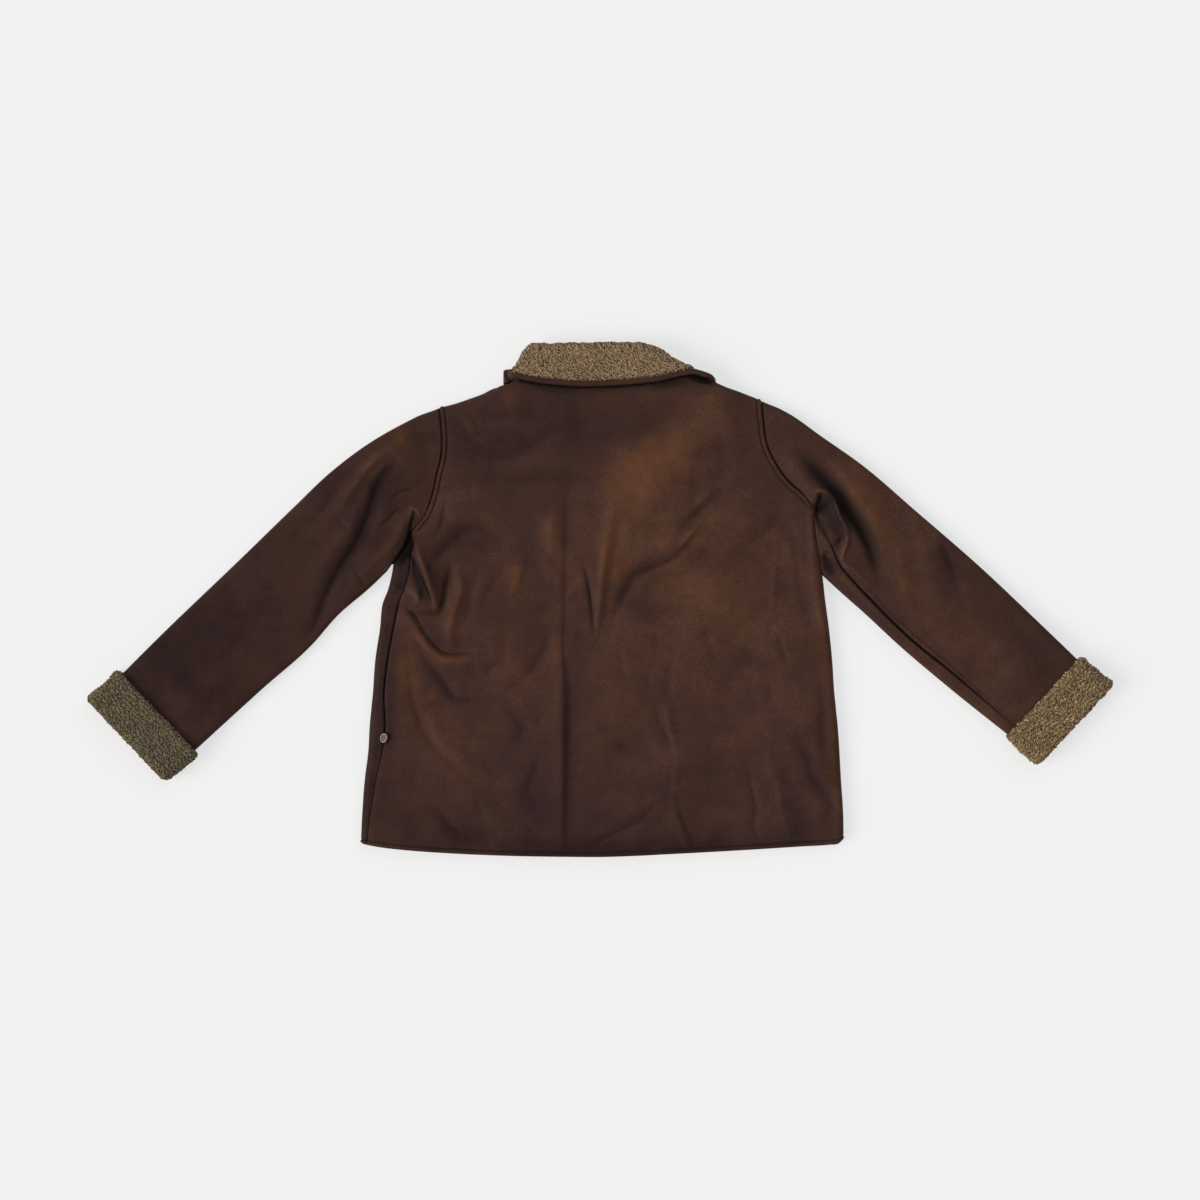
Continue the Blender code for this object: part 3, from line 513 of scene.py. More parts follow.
body = {
    "wall": 5.5,
    "edgeRadius": 7.3,      # half the height of two layers turned round an edge
    "seamGap": 0.3,
    "lapLeft": -20.0,
    "lapRight": 20.0,
    "lapRise": 6.3,
    "lapLift": 3.7,
    "neckRise": 6.9,
    "pillow": 3.4,          # how much higher the cloth lies away from its edges
    "seamDip": 1.5,
    "bandWidth": 6.2,       # stitched band beside each armhole seam
    "hemBand": 5.4,
    "stitchPitch": 3.3,
    # how far in from the sides, from the hem and from the top edge the cloth rises to that height
    "sideFall": 42.0,
    "hemFall": 34.0,
    "topFall": 30.0,
}

leftSide = table("y edge seam", [
    (-287, -287.4, 8), (-258, -286, 10), (-217, -283, 14), (-176, -278, 18), (-155, -277, 19),
    (-112, -273, 14), (-72, -270, 15.6), (-31, -264, 17), (-4, -261, 20), (12, -254.8, 20),
    (41, -248.4, 20.8), (47, -247.4, 19.8), (53, -243.6, 16.6), (66, -233.4, 8.6), (81, -227.8, 0)])
rightSide = table("y edge seam", [
    (-284, 292.8, 8), (-252, 292.2, 12), (-216, 289.8, 16), (-155, 286, 19), (-108, 281.4, 16),
    (-72, 279, 17), (-36, 275.4, 18), (0, 270.6, 18), (30, 267.3, 14), (56, 264, 9), (77, 259.9, 5),
    (111, 258.8, 0)])
leftArmhole = table("x y", [
    (-227.8, 81), (-219.6, 91.4), (-211.6, 100.6), (-205.4, 114), (-199.9, 132), (-196.2, 150), (-192, 166),
    (-189.6, 196.8), (-191, 214), (-193, 230.6)])
rightArmhole = table("x y", [
    (258.8, 111), (244.8, 127.2), (229.2, 140.4), (211.2, 164.4), (200.4, 188.4), (196.8, 212.4),
    (194.4, 239)])
hemLine = table("x y", [
    (-292, -291.6), (-287, -292.6), (-266, -296.6), (-238, -300), (-200, -303), (-120, -306.8),
    (-40, -308.2), (0, -308.4), (40, -307.2), (80, -305.2), (120, -303.2), (200, -298.6), (240, -296),
    (276, -293.8), (286, -292.6), (291, -289.6), (296, -284)])
backTop = table("x y", [
    (-198, 230.4), (-184.8, 233), (-144, 245.6), (-132, 250), (-118, 257), (-108, 260), (-100, 263),
    (-60, 270.5), (12, 274.5), (80, 272), (112, 271), (124, 267.6), (132, 264.4), (141, 259.8),
    (169, 249.4), (196, 239)])
frontTop = table("x y", [
    (-198, 230.4), (-184.8, 233), (-144, 246), (-118, 255), (-108, 251), (-86, 228), (-52, 204), (12, 194),
    (72, 203), (106, 224), (128, 248), (141, 255), (169, 248.4), (196, 239)])
neckEnds = (-117.0, 140.0)

# Folds of the upper layer: height, half width left and right of the route, the route
bodyFolds = [
    # crease where it was folded for storage, with small ones that run into it
    (2.8, 11, 4.5, [(-46, -296), (-45, -144), (-46, -60)]),
    (1.6, 11, 4.5, [(-46, -44), (-48, 40), (-46, 124)]),
    (-1.8, 3, 14, [(-41, -290), (-39, -193), (-38, -150), (-37, -108), (-42, -70), (-40, 20), (-40, 110)]),
    (1.6, 2.6, 8, [(-75, 63), (-63, 49), (-52, 36)]),
    (1.4, 3, 7, [(-44, -5), (-31, 14)]),
    (-1.7, 5, 3, [(-78, -19), (-66, -14), (-53, -8)]),
    # middle
    (-3, 4, 2.6, [(-18, 38), (-13, 10), (-10, -16), (-8, -38)]),
    (3.6, 6, 8, [(16, 110), (5, 44), (-1, -12), (-4, -40)]),
    (-1.3, 7, 4, [(26, 92), (18, 52), (11, 12), (5, -24), (-2, -48), (-8, -62)]),
    (2.2, 10, 42, [(118, 204), (105, 142), (105, 92)]),
    (2.6, 20, 30, [(60, 196), (24, 172), (2, 140)]),
    # under the left arm
    (7.5, 15, 3.4, [(-221, 76), (-216, 50), (-210, 34), (-205, 18), (-200, 2), (-196, -11)]),
    (-2.6, 4, 4, [(-226, 50), (-219, 27), (-213, 14), (-206, 0), (-202, -8)]),
    (-6.5, 8, 8, [(-177, 42), (-184, 18), (-187, 0), (-192, -12), (-203, -15), (-218, -14)]),
    (4.4, 6, 7, [(-171, 36), (-166, 16), (-170, 0), (-175, -15), (-178, -30), (-179, -46), (-175, -60)]),
    (-1.8, 6, 5, [(-160, 28), (-155, 0), (-160, -20), (-169, -34)]),
    (2.8, 3, 4, [(-229.5, 15), (-220.5, 10.5), (-217, 2), (-220, -6)]),
    (1.8, 1.8, 2.6, [(-247, 18), (-238.5, 19.5), (-234, 17)]),
    (-1.8, 2, 2, [(-246, 11), (-238, 13), (-233, 11)]),
    (1.6, 2.4, 3, [(-233, 50), (-227, 47), (-225, 42)]),
    (-1.6, 2.2, 2.2, [(-223, 14), (-216, 1), (-216, -8)]),
    (4.6, 6, 13, [(-236, -16), (-225, -28), (-215, -44), (-203, -60), (-188, -70), (-152, -70)]),
    (-2.4, 2.4, 2.4, [(-232, -11), (-222, -21), (-213, -36), (-201, -52), (-190, -62), (-172, -65),
                      (-152, -63)]),
    (-4.2, 8, 7, [(-199, 48), (-186, 63), (-174, 75), (-160, 85), (-146, 87), (-126, 79)]),
    (2.4, 9, 8, [(-206, 62), (-190, 84), (-172, 98), (-150, 104)]),
    (1.6, 5, 8, [(-198, 115), (-186, 124), (-173, 130), (-150, 131), (-112, 128)]),
    (-2.2, 3, 3, [(-186, 118), (-189, 96), (-195, 81), (-202, 72)]),
    (-1.6, 6, 5, [(-146, 34), (-154, 6)]),
    (-2, 6, 6, [(-114, 36), (-130, 15), (-140, -8)]),
    (2.4, 5, 12, [(-92, 46), (-98, 26), (-104, 6)]),
    (-1.8, 8, 8, [(-88, 80), (-84, 28)]),
    (2.2, 6, 14, [(-55, 108), (-57, 84), (-58, 46)]),
    # across the shoulder blades
    (-2.8, 8, 9, [(-186, 146), (-150, 148), (-120, 149), (-84, 147), (-56, 150)]),
    (1.6, 4, 5, [(-181, 140), (-165, 144), (-120, 143)]),
    (3.2, 12, 13, [(-126, 160), (-88, 167), (-54, 166)]),
    (-3, 9, 11, [(-132, 175), (-104, 184), (-78, 189), (-50, 199)]),
    (-1.8, 6, 7, [(-176, 184), (-160, 188), (-146, 194)]),
    (2.2, 12, 12, [(-146, 205), (-104, 211), (-64, 207)]),
    (-1.5, 5, 5, [(-187, 213), (-173, 215), (-161, 207), (-157, 196)]),
    (1.5, 5, 5, [(-186, 220), (-172, 223), (-158, 215), (-150, 204)]),
    (-1.8, 7, 8, [(-150, 229), (-124, 232), (-92, 232), (-70, 222)]),
    (2, 8, 9, [(-128, 242), (-108, 243), (-84, 240)]),
    # right of the middle, towards the right arm
    (-2.2, 5, 5, [(152, 137), (132, 117), (114, 102), (99, 88), (91, 69)]),
    (2.4, 4, 5, [(136, 134), (122, 121), (106, 103)]),
    (2.4, 5, 4, [(122, 96), (108, 78), (95, 62)]),
    (-1.6, 3, 3, [(113, 75), (104, 66), (94, 57)]),
    (-2, 8, 6, [(84, 110), (60, 96), (45, 81), (42, 66)]),
    (-1.8, 8, 9, [(140, 204), (146, 176), (150, 140)]),
    (-3.8, 6, 7, [(116, 76), (100, 57), (84, 48), (64, 40), (44, 33), (34, 16), (26, 0), (18, -20),
                  (13, -44)]),
    (3.4, 12, 8, [(130, 92), (96, 74), (66, 60), (40, 50)]),
    (2.8, 8, 14, [(122, 56), (92, 34), (62, 26), (44, 8)]),
    (-2, 6, 6, [(42, -12), (56, 0), (68, 6), (88, 9), (112, 8), (130, 4)]),
    (-3, 5, 6, [(212, 92), (194, 74), (176, 64), (160, 59)]),
    (2.6, 9, 9, [(214, 110), (186, 92), (150, 80)]),
    (-1.1, 2.4, 2.4, [(122, 57), (141, 67)]),
    (-1.1, 2.4, 2.4, [(126, 47), (147, 55)]),
    (-1.2, 2.6, 2.6, [(136, 16), (148, 26), (161, 35)]),
    (-1.2, 2.6, 2.6, [(158, 8), (168, 22), (185, 33)]),
    (-1.1, 2.6, 2.6, [(134, -15), (148, -6), (163, 1)]),
    (-0.9, 2.4, 2.4, [(165, -27), (181, -21)]),
    (-1, 2.4, 2.4, [(125, 40), (145, 38)]),
    (1.4, 3, 6, [(210, 76), (212, 62), (210, 36), (209, 6), (208, -18)]),
    (-1.2, 2.4, 2.4, [(199, 57), (213, 41)]),
    (-2, 7, 9, [(226, 90), (234, 56), (240, 16), (248, -8), (253, -36)]),
    (2.2, 7, 5, [(258, 96), (256, 40), (262, -4), (268, -44)]),
    (-1.5, 4, 4, [(207, -30), (201, -50)]),
    (-1.8, 4, 4, [(215, -42), (225, -78)]),
    (-1.4, 4, 4, [(203, -98), (206, -122)]),
    (-1.4, 5, 5, [(68, -32), (69, -62)]),
    (-1.3, 5, 5, [(85, -72), (81, -114)]),
    (-1.2, 4, 4, [(57, -82), (60, -106)]),
    (-1.5, 5, 5, [(126, -36), (137, -66)]),
    (-1.4, 6, 6, [(22, -50), (30, -96)]),
    (-1.6, 12, 9, [(190, -58), (172, -76), (156, -92)]),
    # lower left
    (-2.8, 6, 7, [(-222, -44), (-216, -62), (-207, -75), (-194, -90), (-183, -105), (-173, -118),
                  (-140, -120)]),
    (-2.2, 5, 6, [(-156, -82), (-139, -92), (-124, -77), (-110, -68)]),
    (-1.8, 6, 5, [(-231, -58), (-228, -86), (-224, -118), (-214, -150), (-190, -184), (-145, -224)]),
    (2.4, 14, 9, [(-216, -96), (-206, -132), (-190, -166), (-160, -196)]),
    (2.6, 16, 14, [(-140, -104), (-112, -92), (-82, -70)]),
    (-2.2, 6, 7, [(-58, -34), (-66, -61), (-83, -86), (-100, -105)]),
    (-2, 7, 7, [(-116, -126), (-92, -151), (-103, -178)]),
    (-1.6, 5, 5, [(-142, -195), (-122, -208)]),
    (-2, 6, 6, [(-72, -188), (-82, -219), (-93, -234)]),
    (-1.2, 5, 5, [(-73, -136), (-71, -154)]),
    (-1.5, 3, 3, [(-113, -255), (-93, -266), (-68, -287)]),
    (-3, 9, 9, [(-206, -242), (-188, -260), (-176, -275), (-154, -288), (-120, -281)]),
    (-1.6, 5, 5, [(-149, -241), (-136, -261)]),
    (2.2, 12, 10, [(-170, -214), (-150, -240), (-118, -268)]),
    (1.8, 12, 12, [(-110, -196), (-104, -226), (-84, -252)]),
    # lower right
    (1.7, 9, 2.4, [(77, -120), (80, -139), (83, -155), (88, -172), (92, -192)]),
    (1.2, 7, 2.6, [(92, -186), (90, -216), (88, -240), (90, -262)]),
    (-1.4, 3, 5, [(67, -122), (71, -140), (75, -156)]),
    (2.6, 3, 9, [(88, -248), (96, -270), (104, -288), (110, -299)]),
    (-3, 4, 5, [(66, -247), (48, -264), (28, -274), (8, -284), (-14, -295)]),
    (2, 7, 5, [(50, -252), (26, -264), (0, -274)]),
    (-1.6, 3, 3, [(82, -259), (68, -272), (50, -281)]),
    (2.5, 17, 5, [(201, -176), (206, -200), (214, -220), (218, -248), (224, -268), (231, -294)]),
    (1.4, 2.6, 2.6, [(212, -215), (230, -227)]),
    (-2, 4, 4, [(179, -204), (184, -232), (188, -248), (186, -272), (193, -290)]),
    (-2.6, 7, 7, [(234, -168), (250, -184), (255, -210), (268, -228), (278, -244), (271, -264)]),
    (-2.2, 6, 7, [(267, -106), (268, -150), (270, -194)]),
    (-1.6, 9, 9, [(20, -162), (34, -184)]),
    (1.8, 16, 16, [(130, -96), (150, -150), (158, -216)]),
    (1.5, 16, 16, [(-10, -130), (6, -190), (8, -240)]),
    (-1.6, 12, 14, [(128, 238), (160, 226), (186, 206)]),
]

# Painted light and shade, mixed with the cloth's own mottling: lighter or darker, warmer or cooler, half
# width, the route
bodyTones = [
    (0.15, 0, 60, [(40, 180), (70, 110), (60, 40)]),
    (0.12, 0, 50, [(80, 30), (180, 0)]),
    (-0.16, 0, 26, [(-84, 136), (-40, 120)]),
    (-0.15, -0.1, 40, [(-80, -200), (-50, -270), (20, -280)]),
    (-0.2, 0, 12, [(-246, -20), (-250, -90), (-257, -190)]),
    (0.14, 0, 12, [(256, 60), (266, -60)]),
    (0.7, 0, 2.4, [(-222, 68), (-217, 50), (-211, 36), (-207, 20), (-203, 5), (-197, -10)]),
    (-0.6, 0.5, 4.5, [(-215, 60), (-206, 36), (-201, 20), (-196, 4)]),
    (0.02, 0.5, 5, [(-172, 36), (-166, 16), (-171, 0), (-176, -15), (-178, -48)]),
    (-0.55, -0.3, 5, [(-199, 48), (-186, 63), (-174, 75), (-162, 84), (-147, 87), (-127, 78)]),
    (0.1, 0, 5, [(-198, 113), (-186, 123), (-172, 130), (-150, 131)]),
    (0.4, 0.7, 4.5, [(-230, -24), (-216, -44), (-203, -60), (-188, -71), (-156, -71)]),
    (-0.55, -0.9, 4, [(-224, 52), (-218, 27), (-212, 14), (-204, -4)]),
    (-0.45, 0.2, 3, [(-186, 118), (-189, 96), (-195, 81), (-202, 72)]),
    (0.5, 0.2, 2.4, [(-231, 11), (-221, 5), (-216.5, -6)]),
    (0.2, 0.1, 2.4, [(81, -128), (83, -155), (89, -172), (93, -190)]),
    (0.05, 0, 2.4, [(203, -180), (209, -204), (217, -236), (226, -270), (232, -292)]),
    (0.35, 0.1, 3, [(3, 60), (-1, 10), (-4, -34)]),
    (0.3, 0.2, 3, [(131, 129), (111, 108)]),
    (0.3, 0.2, 3, [(117, 92), (96, 65)]),
    (0.35, 0.3, 4, [(42, 18), (58, 32), (88, 44), (104, 62)]),
    (-0.42, -0.05, 60, [(-196, 176), (-120, 190), (-40, 200)]),
    (-0.45, -0.1, 22, [(-250, -290), (-160, -292), (-60, -296), (30, -296), (130, -290), (260, -282)]),
    (-0.2, 0, 60, [(-150, 100), (-130, 10), (-140, -60)]),
    (0.42, 0.55, 32, [(20, 120), (44, 150), (84, 180), (120, 206)]),
    (0.34, 0.4, 24, [(0, 160), (14, 158), (44, 180)]),
    (0.22, 0.3, 26, [(110, 214), (150, 236)]),
    (-0.42, -0.15, 22, [(-20, 172), (40, 206), (84, 228), (116, 246)]),
    (-0.3, -0.05, 40, [(-180, 190), (-110, 205), (-40, 214), (10, 226)]),
    (0.3, 0.5, 13, [(-118, 241), (-98, 243)]),
    (0.24, -0.35, 15, [(-140, 206), (-104, 212), (-70, 206)]),
    (0.3, -0.2, 14, [(-112, 164), (-86, 170), (-62, 166)]),
    (-0.3, -0.25, 12, [(-40, 250), (-36, 222), (-30, 160)]),
    (-0.28, 0, 10, [(-42, 128), (-42, 52)]),
    (0.4, 0.6, 15, [(-62, 104), (-60, 50)]),
    (0.36, 0.8, 14, [(-100, 44), (-102, 10)]),
    (0.1, 0.8, 9, [(-171, 28), (-173, 0), (-180, -46)]),
    (-0.3, 0.6, 10, [(-208, 48), (-198, 10)]),
    (-0.45, -0.9, 6, [(-225, 48), (-218, 26), (-205, 0)]),
    (-0.3, -0.8, 11, [(-178, 62), (-156, 70), (-134, 62)]),
    (0.24, 0.7, 10, [(-220, -40), (-200, -66), (-166, -76)]),
    (-0.3, -0.7, 10, [(-214, -26), (-198, -44), (-166, -54)]),
    (0.3, 0.85, 15, [(-237, -60), (-236, -130)]),
    (0.28, 0.7, 17, [(-200, -124), (-196, -150), (-180, -170)]),
    (-0.1, 0.9, 7, [(-231, -58), (-226, -110), (-212, -156), (-176, -204), (-146, -224)]),
    (-0.24, -0.8, 9, [(-218, -56), (-196, -91), (-174, -120), (-140, -122)]),
    (0.26, 0.45, 24, [(-134, -96), (-104, -86), (-84, -74)]),
    (0.24, 0.5, 9, [(-54, -40), (-53, -100), (-53, -180)]),
    (-0.3, -0.85, 9, [(-40, -84), (-38, -150), (-40, -268)]),
    (-0.2, -0.75, 14, [(-110, -128), (-94, -152), (-102, -176)]),
    (-0.2, -0.6, 12, [(-76, -192), (-84, -222)]),
    (-0.24, -0.6, 16, [(-236, -252), (-222, -286)]),
    (-0.28, -0.7, 12, [(-200, -250), (-180, -274), (-130, -284)]),
    (-0.12, -0.25, 10, [(112, 176), (110, 108)]),
    (-0.3, -0.2, 10, [(141, 200), (147, 172)]),
    (-0.2, -0.4, 9, [(150, 136), (114, 102), (92, 70)]),
    (0.02, 0.6, 8, [(32, 114), (22, 90), (16, 52), (8, 0)]),
    (-0.4, -0.5, 9, [(98, 56), (64, 40), (40, 30), (22, -10)]),
    (0.2, 0.5, 20, [(66, 66), (100, 78)]),
    (0.16, 0.45, 26, [(90, 26), (150, -10), (196, -60)]),
    (-0.18, -0.8, 15, [(44, -8), (70, -24)]),
    (-0.14, -0.55, 8, [(228, 84), (236, 40), (248, -10), (252, -34)]),
    (0.24, 0.7, 6, [(262, 76), (266, 10), (272, -40)]),
    (-0.2, -0.6, 14, [(184, -62), (162, -84)]),
    (0.18, 0.4, 24, [(200, -120), (240, -100)]),
    (-0.32, -0.95, 10, [(236, -172), (254, -206), (276, -244)]),
    (-0.24, -0.8, 8, [(268, -110), (269, -190)]),
    (0.18, 0.5, 6, [(283, -120), (287, -190), (289, -260)]),
    (-0.26, -0.8, 12, [(24, -166), (32, -182)]),
    (0.06, 0, 8, [(203, -224), (207, -284)]),
    (-0.34, -0.6, 14, [(230, -234), (238, -284)]),
    (-0.26, -0.2, 30, [(150, -170), (110, -236)]),
    (-0.4, -0.1, 15, [(-200, -296), (-100, -302), (20, -303), (140, -298), (270, -288)]),
    (-0.24, -0.2, 26, [(20, -196), (-20, -260)]),
    (-0.24, -0.15, 8, [(-108, 141), (-66, 147), (-24, 140)]),
    (-0.24, -0.1, 9, [(-120, 168), (-84, 186), (-50, 208)]),
    (-0.2, 0, 8, [(-150, 224), (-110, 225), (-76, 228)]),
    (-0.26, -0.1, 9, [(-88, 262), (-50, 250), (-22, 246)]),
    (-0.3, -0.3, 9, [(88, 252), (112, 256), (136, 254)]),
    (-0.24, -0.3, 8, [(-186, 140), (-182, 122)]),
    (-0.18, 0, 8, [(-208, 84), (-204, 76)]),
    (0.26, 0.3, 16, [(48, 196), (66, 184)]),
    (0.26, 0.4, 22, [(20, 112), (44, 130), (64, 126)]),
    (0.2, 0.5, 9, [(8, 150), (11, 90), (9, 30), (6, 0)]),
    (-0.22, -0.1, 5, [(-8, 62), (-5, 20)]),
    (-0.26, -0.2, 7, [(-84, 84), (-80, 50), (-76, 16)]),
    (0.22, 0.3, 9, [(118, 120), (138, 104), (116, 84)]),
    (0.18, 0.3, 14, [(112, 172), (116, 142)]),
    (0.22, 0.3, 12, [(74, 24), (96, 27), (118, 33)]),
    (0.2, 0.3, 10, [(222, 84), (227, 40), (236, -4)]),
    (0.26, 0.3, 9, [(-46, 56), (-38, 20), (-46, -28)]),
    (0.26, 0.4, 9, [(-98, -18), (-108, -50), (-116, -92)]),
    (0.22, 0.5, 10, [(-205, -104), (-196, -118)]),
    (0.2, 0.5, 10, [(-16, -56), (-8, -80), (-4, -106)]),
    (-0.3, -0.3, 8, [(-30, -26), (-26, -50)]),
    (-0.24, -0.1, 7, [(-62, -50), (-74, -72), (-86, -90)]),
    (-0.22, 0.1, 8, [(-168, -80), (-138, -82), (-112, -76)]),
    (-0.22, -0.1, 7, [(-222, -50), (-205, -64), (-190, -70)]),
    (-0.16, 0, 40, [(-260, -262), (-200, -250), (-110, -240)]),
    (-0.22, -0.3, 14, [(-130, -190), (-110, -206)]),
    (-0.3, -0.8, 20, [(-100, -216), (-72, -250), (-50, -262)]),
    (-0.2, -0.2, 12, [(-196, -240), (-184, -252)]),
    (-0.16, -0.3, 14, [(-22, -254), (20, -262), (60, -270)]),
    (-0.2, -0.4, 10, [(82, -210), (86, -236)]),
    (-0.16, -0.5, 10, [(80, -140), (78, -176)]),
    (-0.16, -0.4, 10, [(200, -176), (212, -206), (222, -262)]),
    (-0.24, -0.8, 12, [(272, -244), (280, -272)]),
    (-0.16, -0.4, 12, [(204, -100), (208, -126)]),
    (-0.14, -0.2, 10, [(88, -80), (88, -96)]),
    (0.12, 0.2, 10, [(256, -50), (262, -90)]),
    (0.1, 1, 9, [(264, 40), (271, 0), (279, -80), (286, -160), (290, -260)]),
    (-0.04, -0.3, 90, [(-120, -240), (150, -210)]),
    (0.04, 0.3, 70, [(60, 160), (140, 90), (220, 20)]),
    (-0.32, -0.8, 7, [(-242, -30), (-249, -80), (-252, -130), (-251, -190)]),
    (-0.2, -0.3, 11, [(-256, -200), (-262, -250), (-268, -290)]),
    (-0.24, -0.1, 8, [(-110, 143), (-66, 148), (-24, 143)]),
    (-0.16, -0.1, 9, [(-116, 172), (-84, 186), (-60, 202)]),
    (-0.2, -0.1, 7, [(-30, -34), (-28, -62)]),
    (-0.18, -0.1, 6, [(-83, 80), (-80, 40)]),
    (-0.2, 0, 5, [(-179, 36), (-177, 4)]),
    (-0.3, -0.2, 5, [(-225, 62), (-222, 42)]),
    (0.24, 0.6, 9, [(-70, -22), (-50, -26)]),
    (0.24, 0.5, 7, [(-26, 42), (-23, 0)]),
    (0.28, 1, 9, [(36, 46), (27, 14)]),
    (0.18, 0.4, 9, [(-108, 30), (-104, -8)]),
    (0.18, 0.3, 9, [(268, -40), (273, -110)]),
    (0.16, 0.2, 10, [(112, 84), (120, 64)]),
    (0, 0.6, 9, [(-186, -50), (-170, -58), (-158, -86)]),
    (0, 0.6, 10, [(-226, -130), (-220, -170)]),
    (0, -0.35, 22, [(186, -150), (202, -110), (190, -60)]),
    (0.26, 0.4, 5, [(251, 106), (253, 84), (257, 60)]),
    (-0.08, 0, 60, [(-200, 120), (-120, 180), (-60, 230)]),
]

# Where light hardly gets in: strength, half width left and right of the route, the route
bodyGaps = [
    (1.2, 1.9, 1.7, [(-223.4, 107), (-225.6, 98), (-228.6, 86), (-230, 76), (-229, 68)]),
    (1.3, 7, 8, [(-228, 80), (-230, 64), (-236, 53), (-246, 42)]),
    (0.95, 2, 2.4, [(-223, 44), (-216, 30), (-208.5, 14), (-201.5, -5)]),
    (0.55, 3, 3, [(-227, 54), (-221, 41)]),
    (0.62, 2.4, 2.4, [(-219, 12), (-215.6, 5), (-214.4, -3)]),
    (0.55, 2.4, 2.4, [(-230, -11.6), (-225, -16.6), (-219, -22.5)]),
    (0.55, 2.2, 2.2, [(-246.5, 18.4), (-241, 16), (-235.5, 13.4)]),
    (0.8, 0.9, 0.9, [(-256, -158.2), (-253, -160.4), (-252.3, -165), (-254.2, -170.2), (-258.6, -172.6),
                      (-262.6, -170.6), (-263.7, -165.6), (-261.8, -160.2), (-256, -158.2)]),
    (0.72, 1.6, 1.6, [(-18, 38), (-13, 12), (-10, -14), (-8, -38)]),
    (0.65, 1.6, 1.6, [(-232, -11), (-222, -21), (-213, -36), (-201, -52), (-190, -62), (-172, -65),
                      (-152, -63)]),
    (0.6, 4, 4, [(-180, 38), (-186, 16), (-188, 0), (-193, -13), (-216, -15)]),
    (0.16, 1.6, 1.6, [(-44, -290), (-43, -150), (-44, -90), (-45, -20)]),
    (0.3, 3, 3, [(-222, -48), (-207, -75), (-194, -90), (-174, -117), (-146, -120)]),
    (0.15, 3, 3, [(148, 132), (132, 117), (114, 102), (99, 88), (92, 72)]),
    (0.3, 3, 3, [(108, 66), (84, 48), (64, 40), (44, 33), (34, 16), (22, -10)]),
    (0.35, 2, 2, [(62, -250), (48, -264), (28, -274), (8, -284), (-12, -294)]),
    (0.3, 1.6, 1.6, [(94, -254), (102, -272), (110, -290)]),
    (0.12, 2, 2, [(230, 88), (236, 50), (242, 14)]),
    (0.3, 2, 2, [(-198, -250), (-180, -272), (-156, -288)]),
    (1.3, 4.6, 4.6, [(104, 268.6), (116, 266), (126, 263.4), (137, 260)]),
    (0.5, 5, 5, [(64, 256), (84, 259), (104, 264)]),
]


def seamArc(inset):
    # length round the edge from its outermost line to a seam that far in: r arccos(1 - inset/r) on the
    # round part, then straight
    r = body["edgeRadius"]
    quarter = math.pi / 2 * r
    return np.where(inset >= r, quarter + inset - r, r * np.arccos(1.0 - np.minimum(inset, r) / r))


def bodyRows(sideRows=172, holeRows=74):
    # rows from the hem to the underarms, then up both armholes to the shoulder tips
    hemSteps = np.array([0, 0.5, 1.0, 1.6, 2.3, 3.0, 3.7, 4.4, 5.1, 5.8, 6.6, 7.6, 9.0])
    low, high = rightSide["y"][0], rightSide["y"][-1]
    y = np.r_[low + hemSteps, np.linspace(low + 11.0, high, sideRows - len(hemSteps))]
    part = (y - low) / (high - low)
    leftY = leftSide["y"][0] + part * (leftSide["y"][-1] - leftSide["y"][0])
    up = np.linspace(0.0, 1.0, holeRows + 1)[1:] * 0.96
    up = np.r_[up, 0.96 + 0.04 * np.array([0.25, 0.45, 0.62, 0.76, 0.87, 0.95, 1.0])]
    left, right = routeThrough(pointsOf(leftArmhole), up), routeThrough(pointsOf(rightArmhole), up)
    nothing = np.zeros(len(up))
    return {
        "side": np.r_[np.ones(len(y), bool), np.zeros(len(up), bool)],
        "leftX": np.r_[softAt(leftY, leftSide["y"], leftSide["edge"]), left[:, 0]],
        "leftY": np.r_[leftY, left[:, 1]],
        "rightX": np.r_[softAt(y, rightSide["y"], rightSide["edge"]), right[:, 0]],
        "rightY": np.r_[y, right[:, 1]],
        "leftSeam": np.r_[softAt(leftY, leftSide["y"], leftSide["seam"]), nothing],
        "rightSeam": np.r_[softAt(y, rightSide["y"], rightSide["seam"]), nothing],
        "hem": np.r_[np.maximum(0.0, 1.0 - part / 0.42) ** 2, nothing],
        "up": np.r_[np.zeros(len(y)), up ** 1.4],
        "round": np.r_[np.ones(len(y)), 1.0 - smooth(0.0, 0.12, up)],
    }


rows = bodyRows()


def rowY(x, topLine):
    # each row is straight between its ends, plus its share of how far the hem or the top edge bends away
    column = {k: v[:, None] for k, v in rows.items()}
    straight = column["leftY"] + (x - column["leftX"]) / (column["rightX"] - column["leftX"]) * (
        column["rightY"] - column["leftY"])
    hemStraight = np.interp(x, [leftSide["edge"][0], rightSide["edge"][0]],
                            [leftSide["y"][0], rightSide["y"][0]])
    tipStraight = np.interp(x, [leftArmhole["x"][-1], rightArmhole["x"][-1]],
                            [leftArmhole["y"][-1], rightArmhole["y"][-1]])
    return (straight + column["hem"] * (softAt(x, hemLine["x"], hemLine["y"]) - hemStraight)
            + column["up"] * (softAt(x, topLine["x"], topLine["y"]) - tipStraight))


def roundSection(s):
    # x, height about the middle and outward direction at length s round the flat tube, over its top
    r = body["edgeRadius"]
    left, right = rows["leftX"][:, None], rows["rightX"][:, None]
    length = (math.pi - 2.0) * r + right - left
    fromRight = s > length / 2
    arc = np.where(fromRight, length - s, s)
    turn = np.clip(arc / r, -math.pi / 2, math.pi / 2)
    inset = r - r * np.cos(turn) + np.maximum(np.abs(arc) - math.pi / 2 * r, 0.0)
    x = np.where(fromRight, right - inset, left + inset)
    return x, r * np.sin(turn), np.where(fromRight, 1.0, -1.0) * np.cos(turn), np.sin(turn)


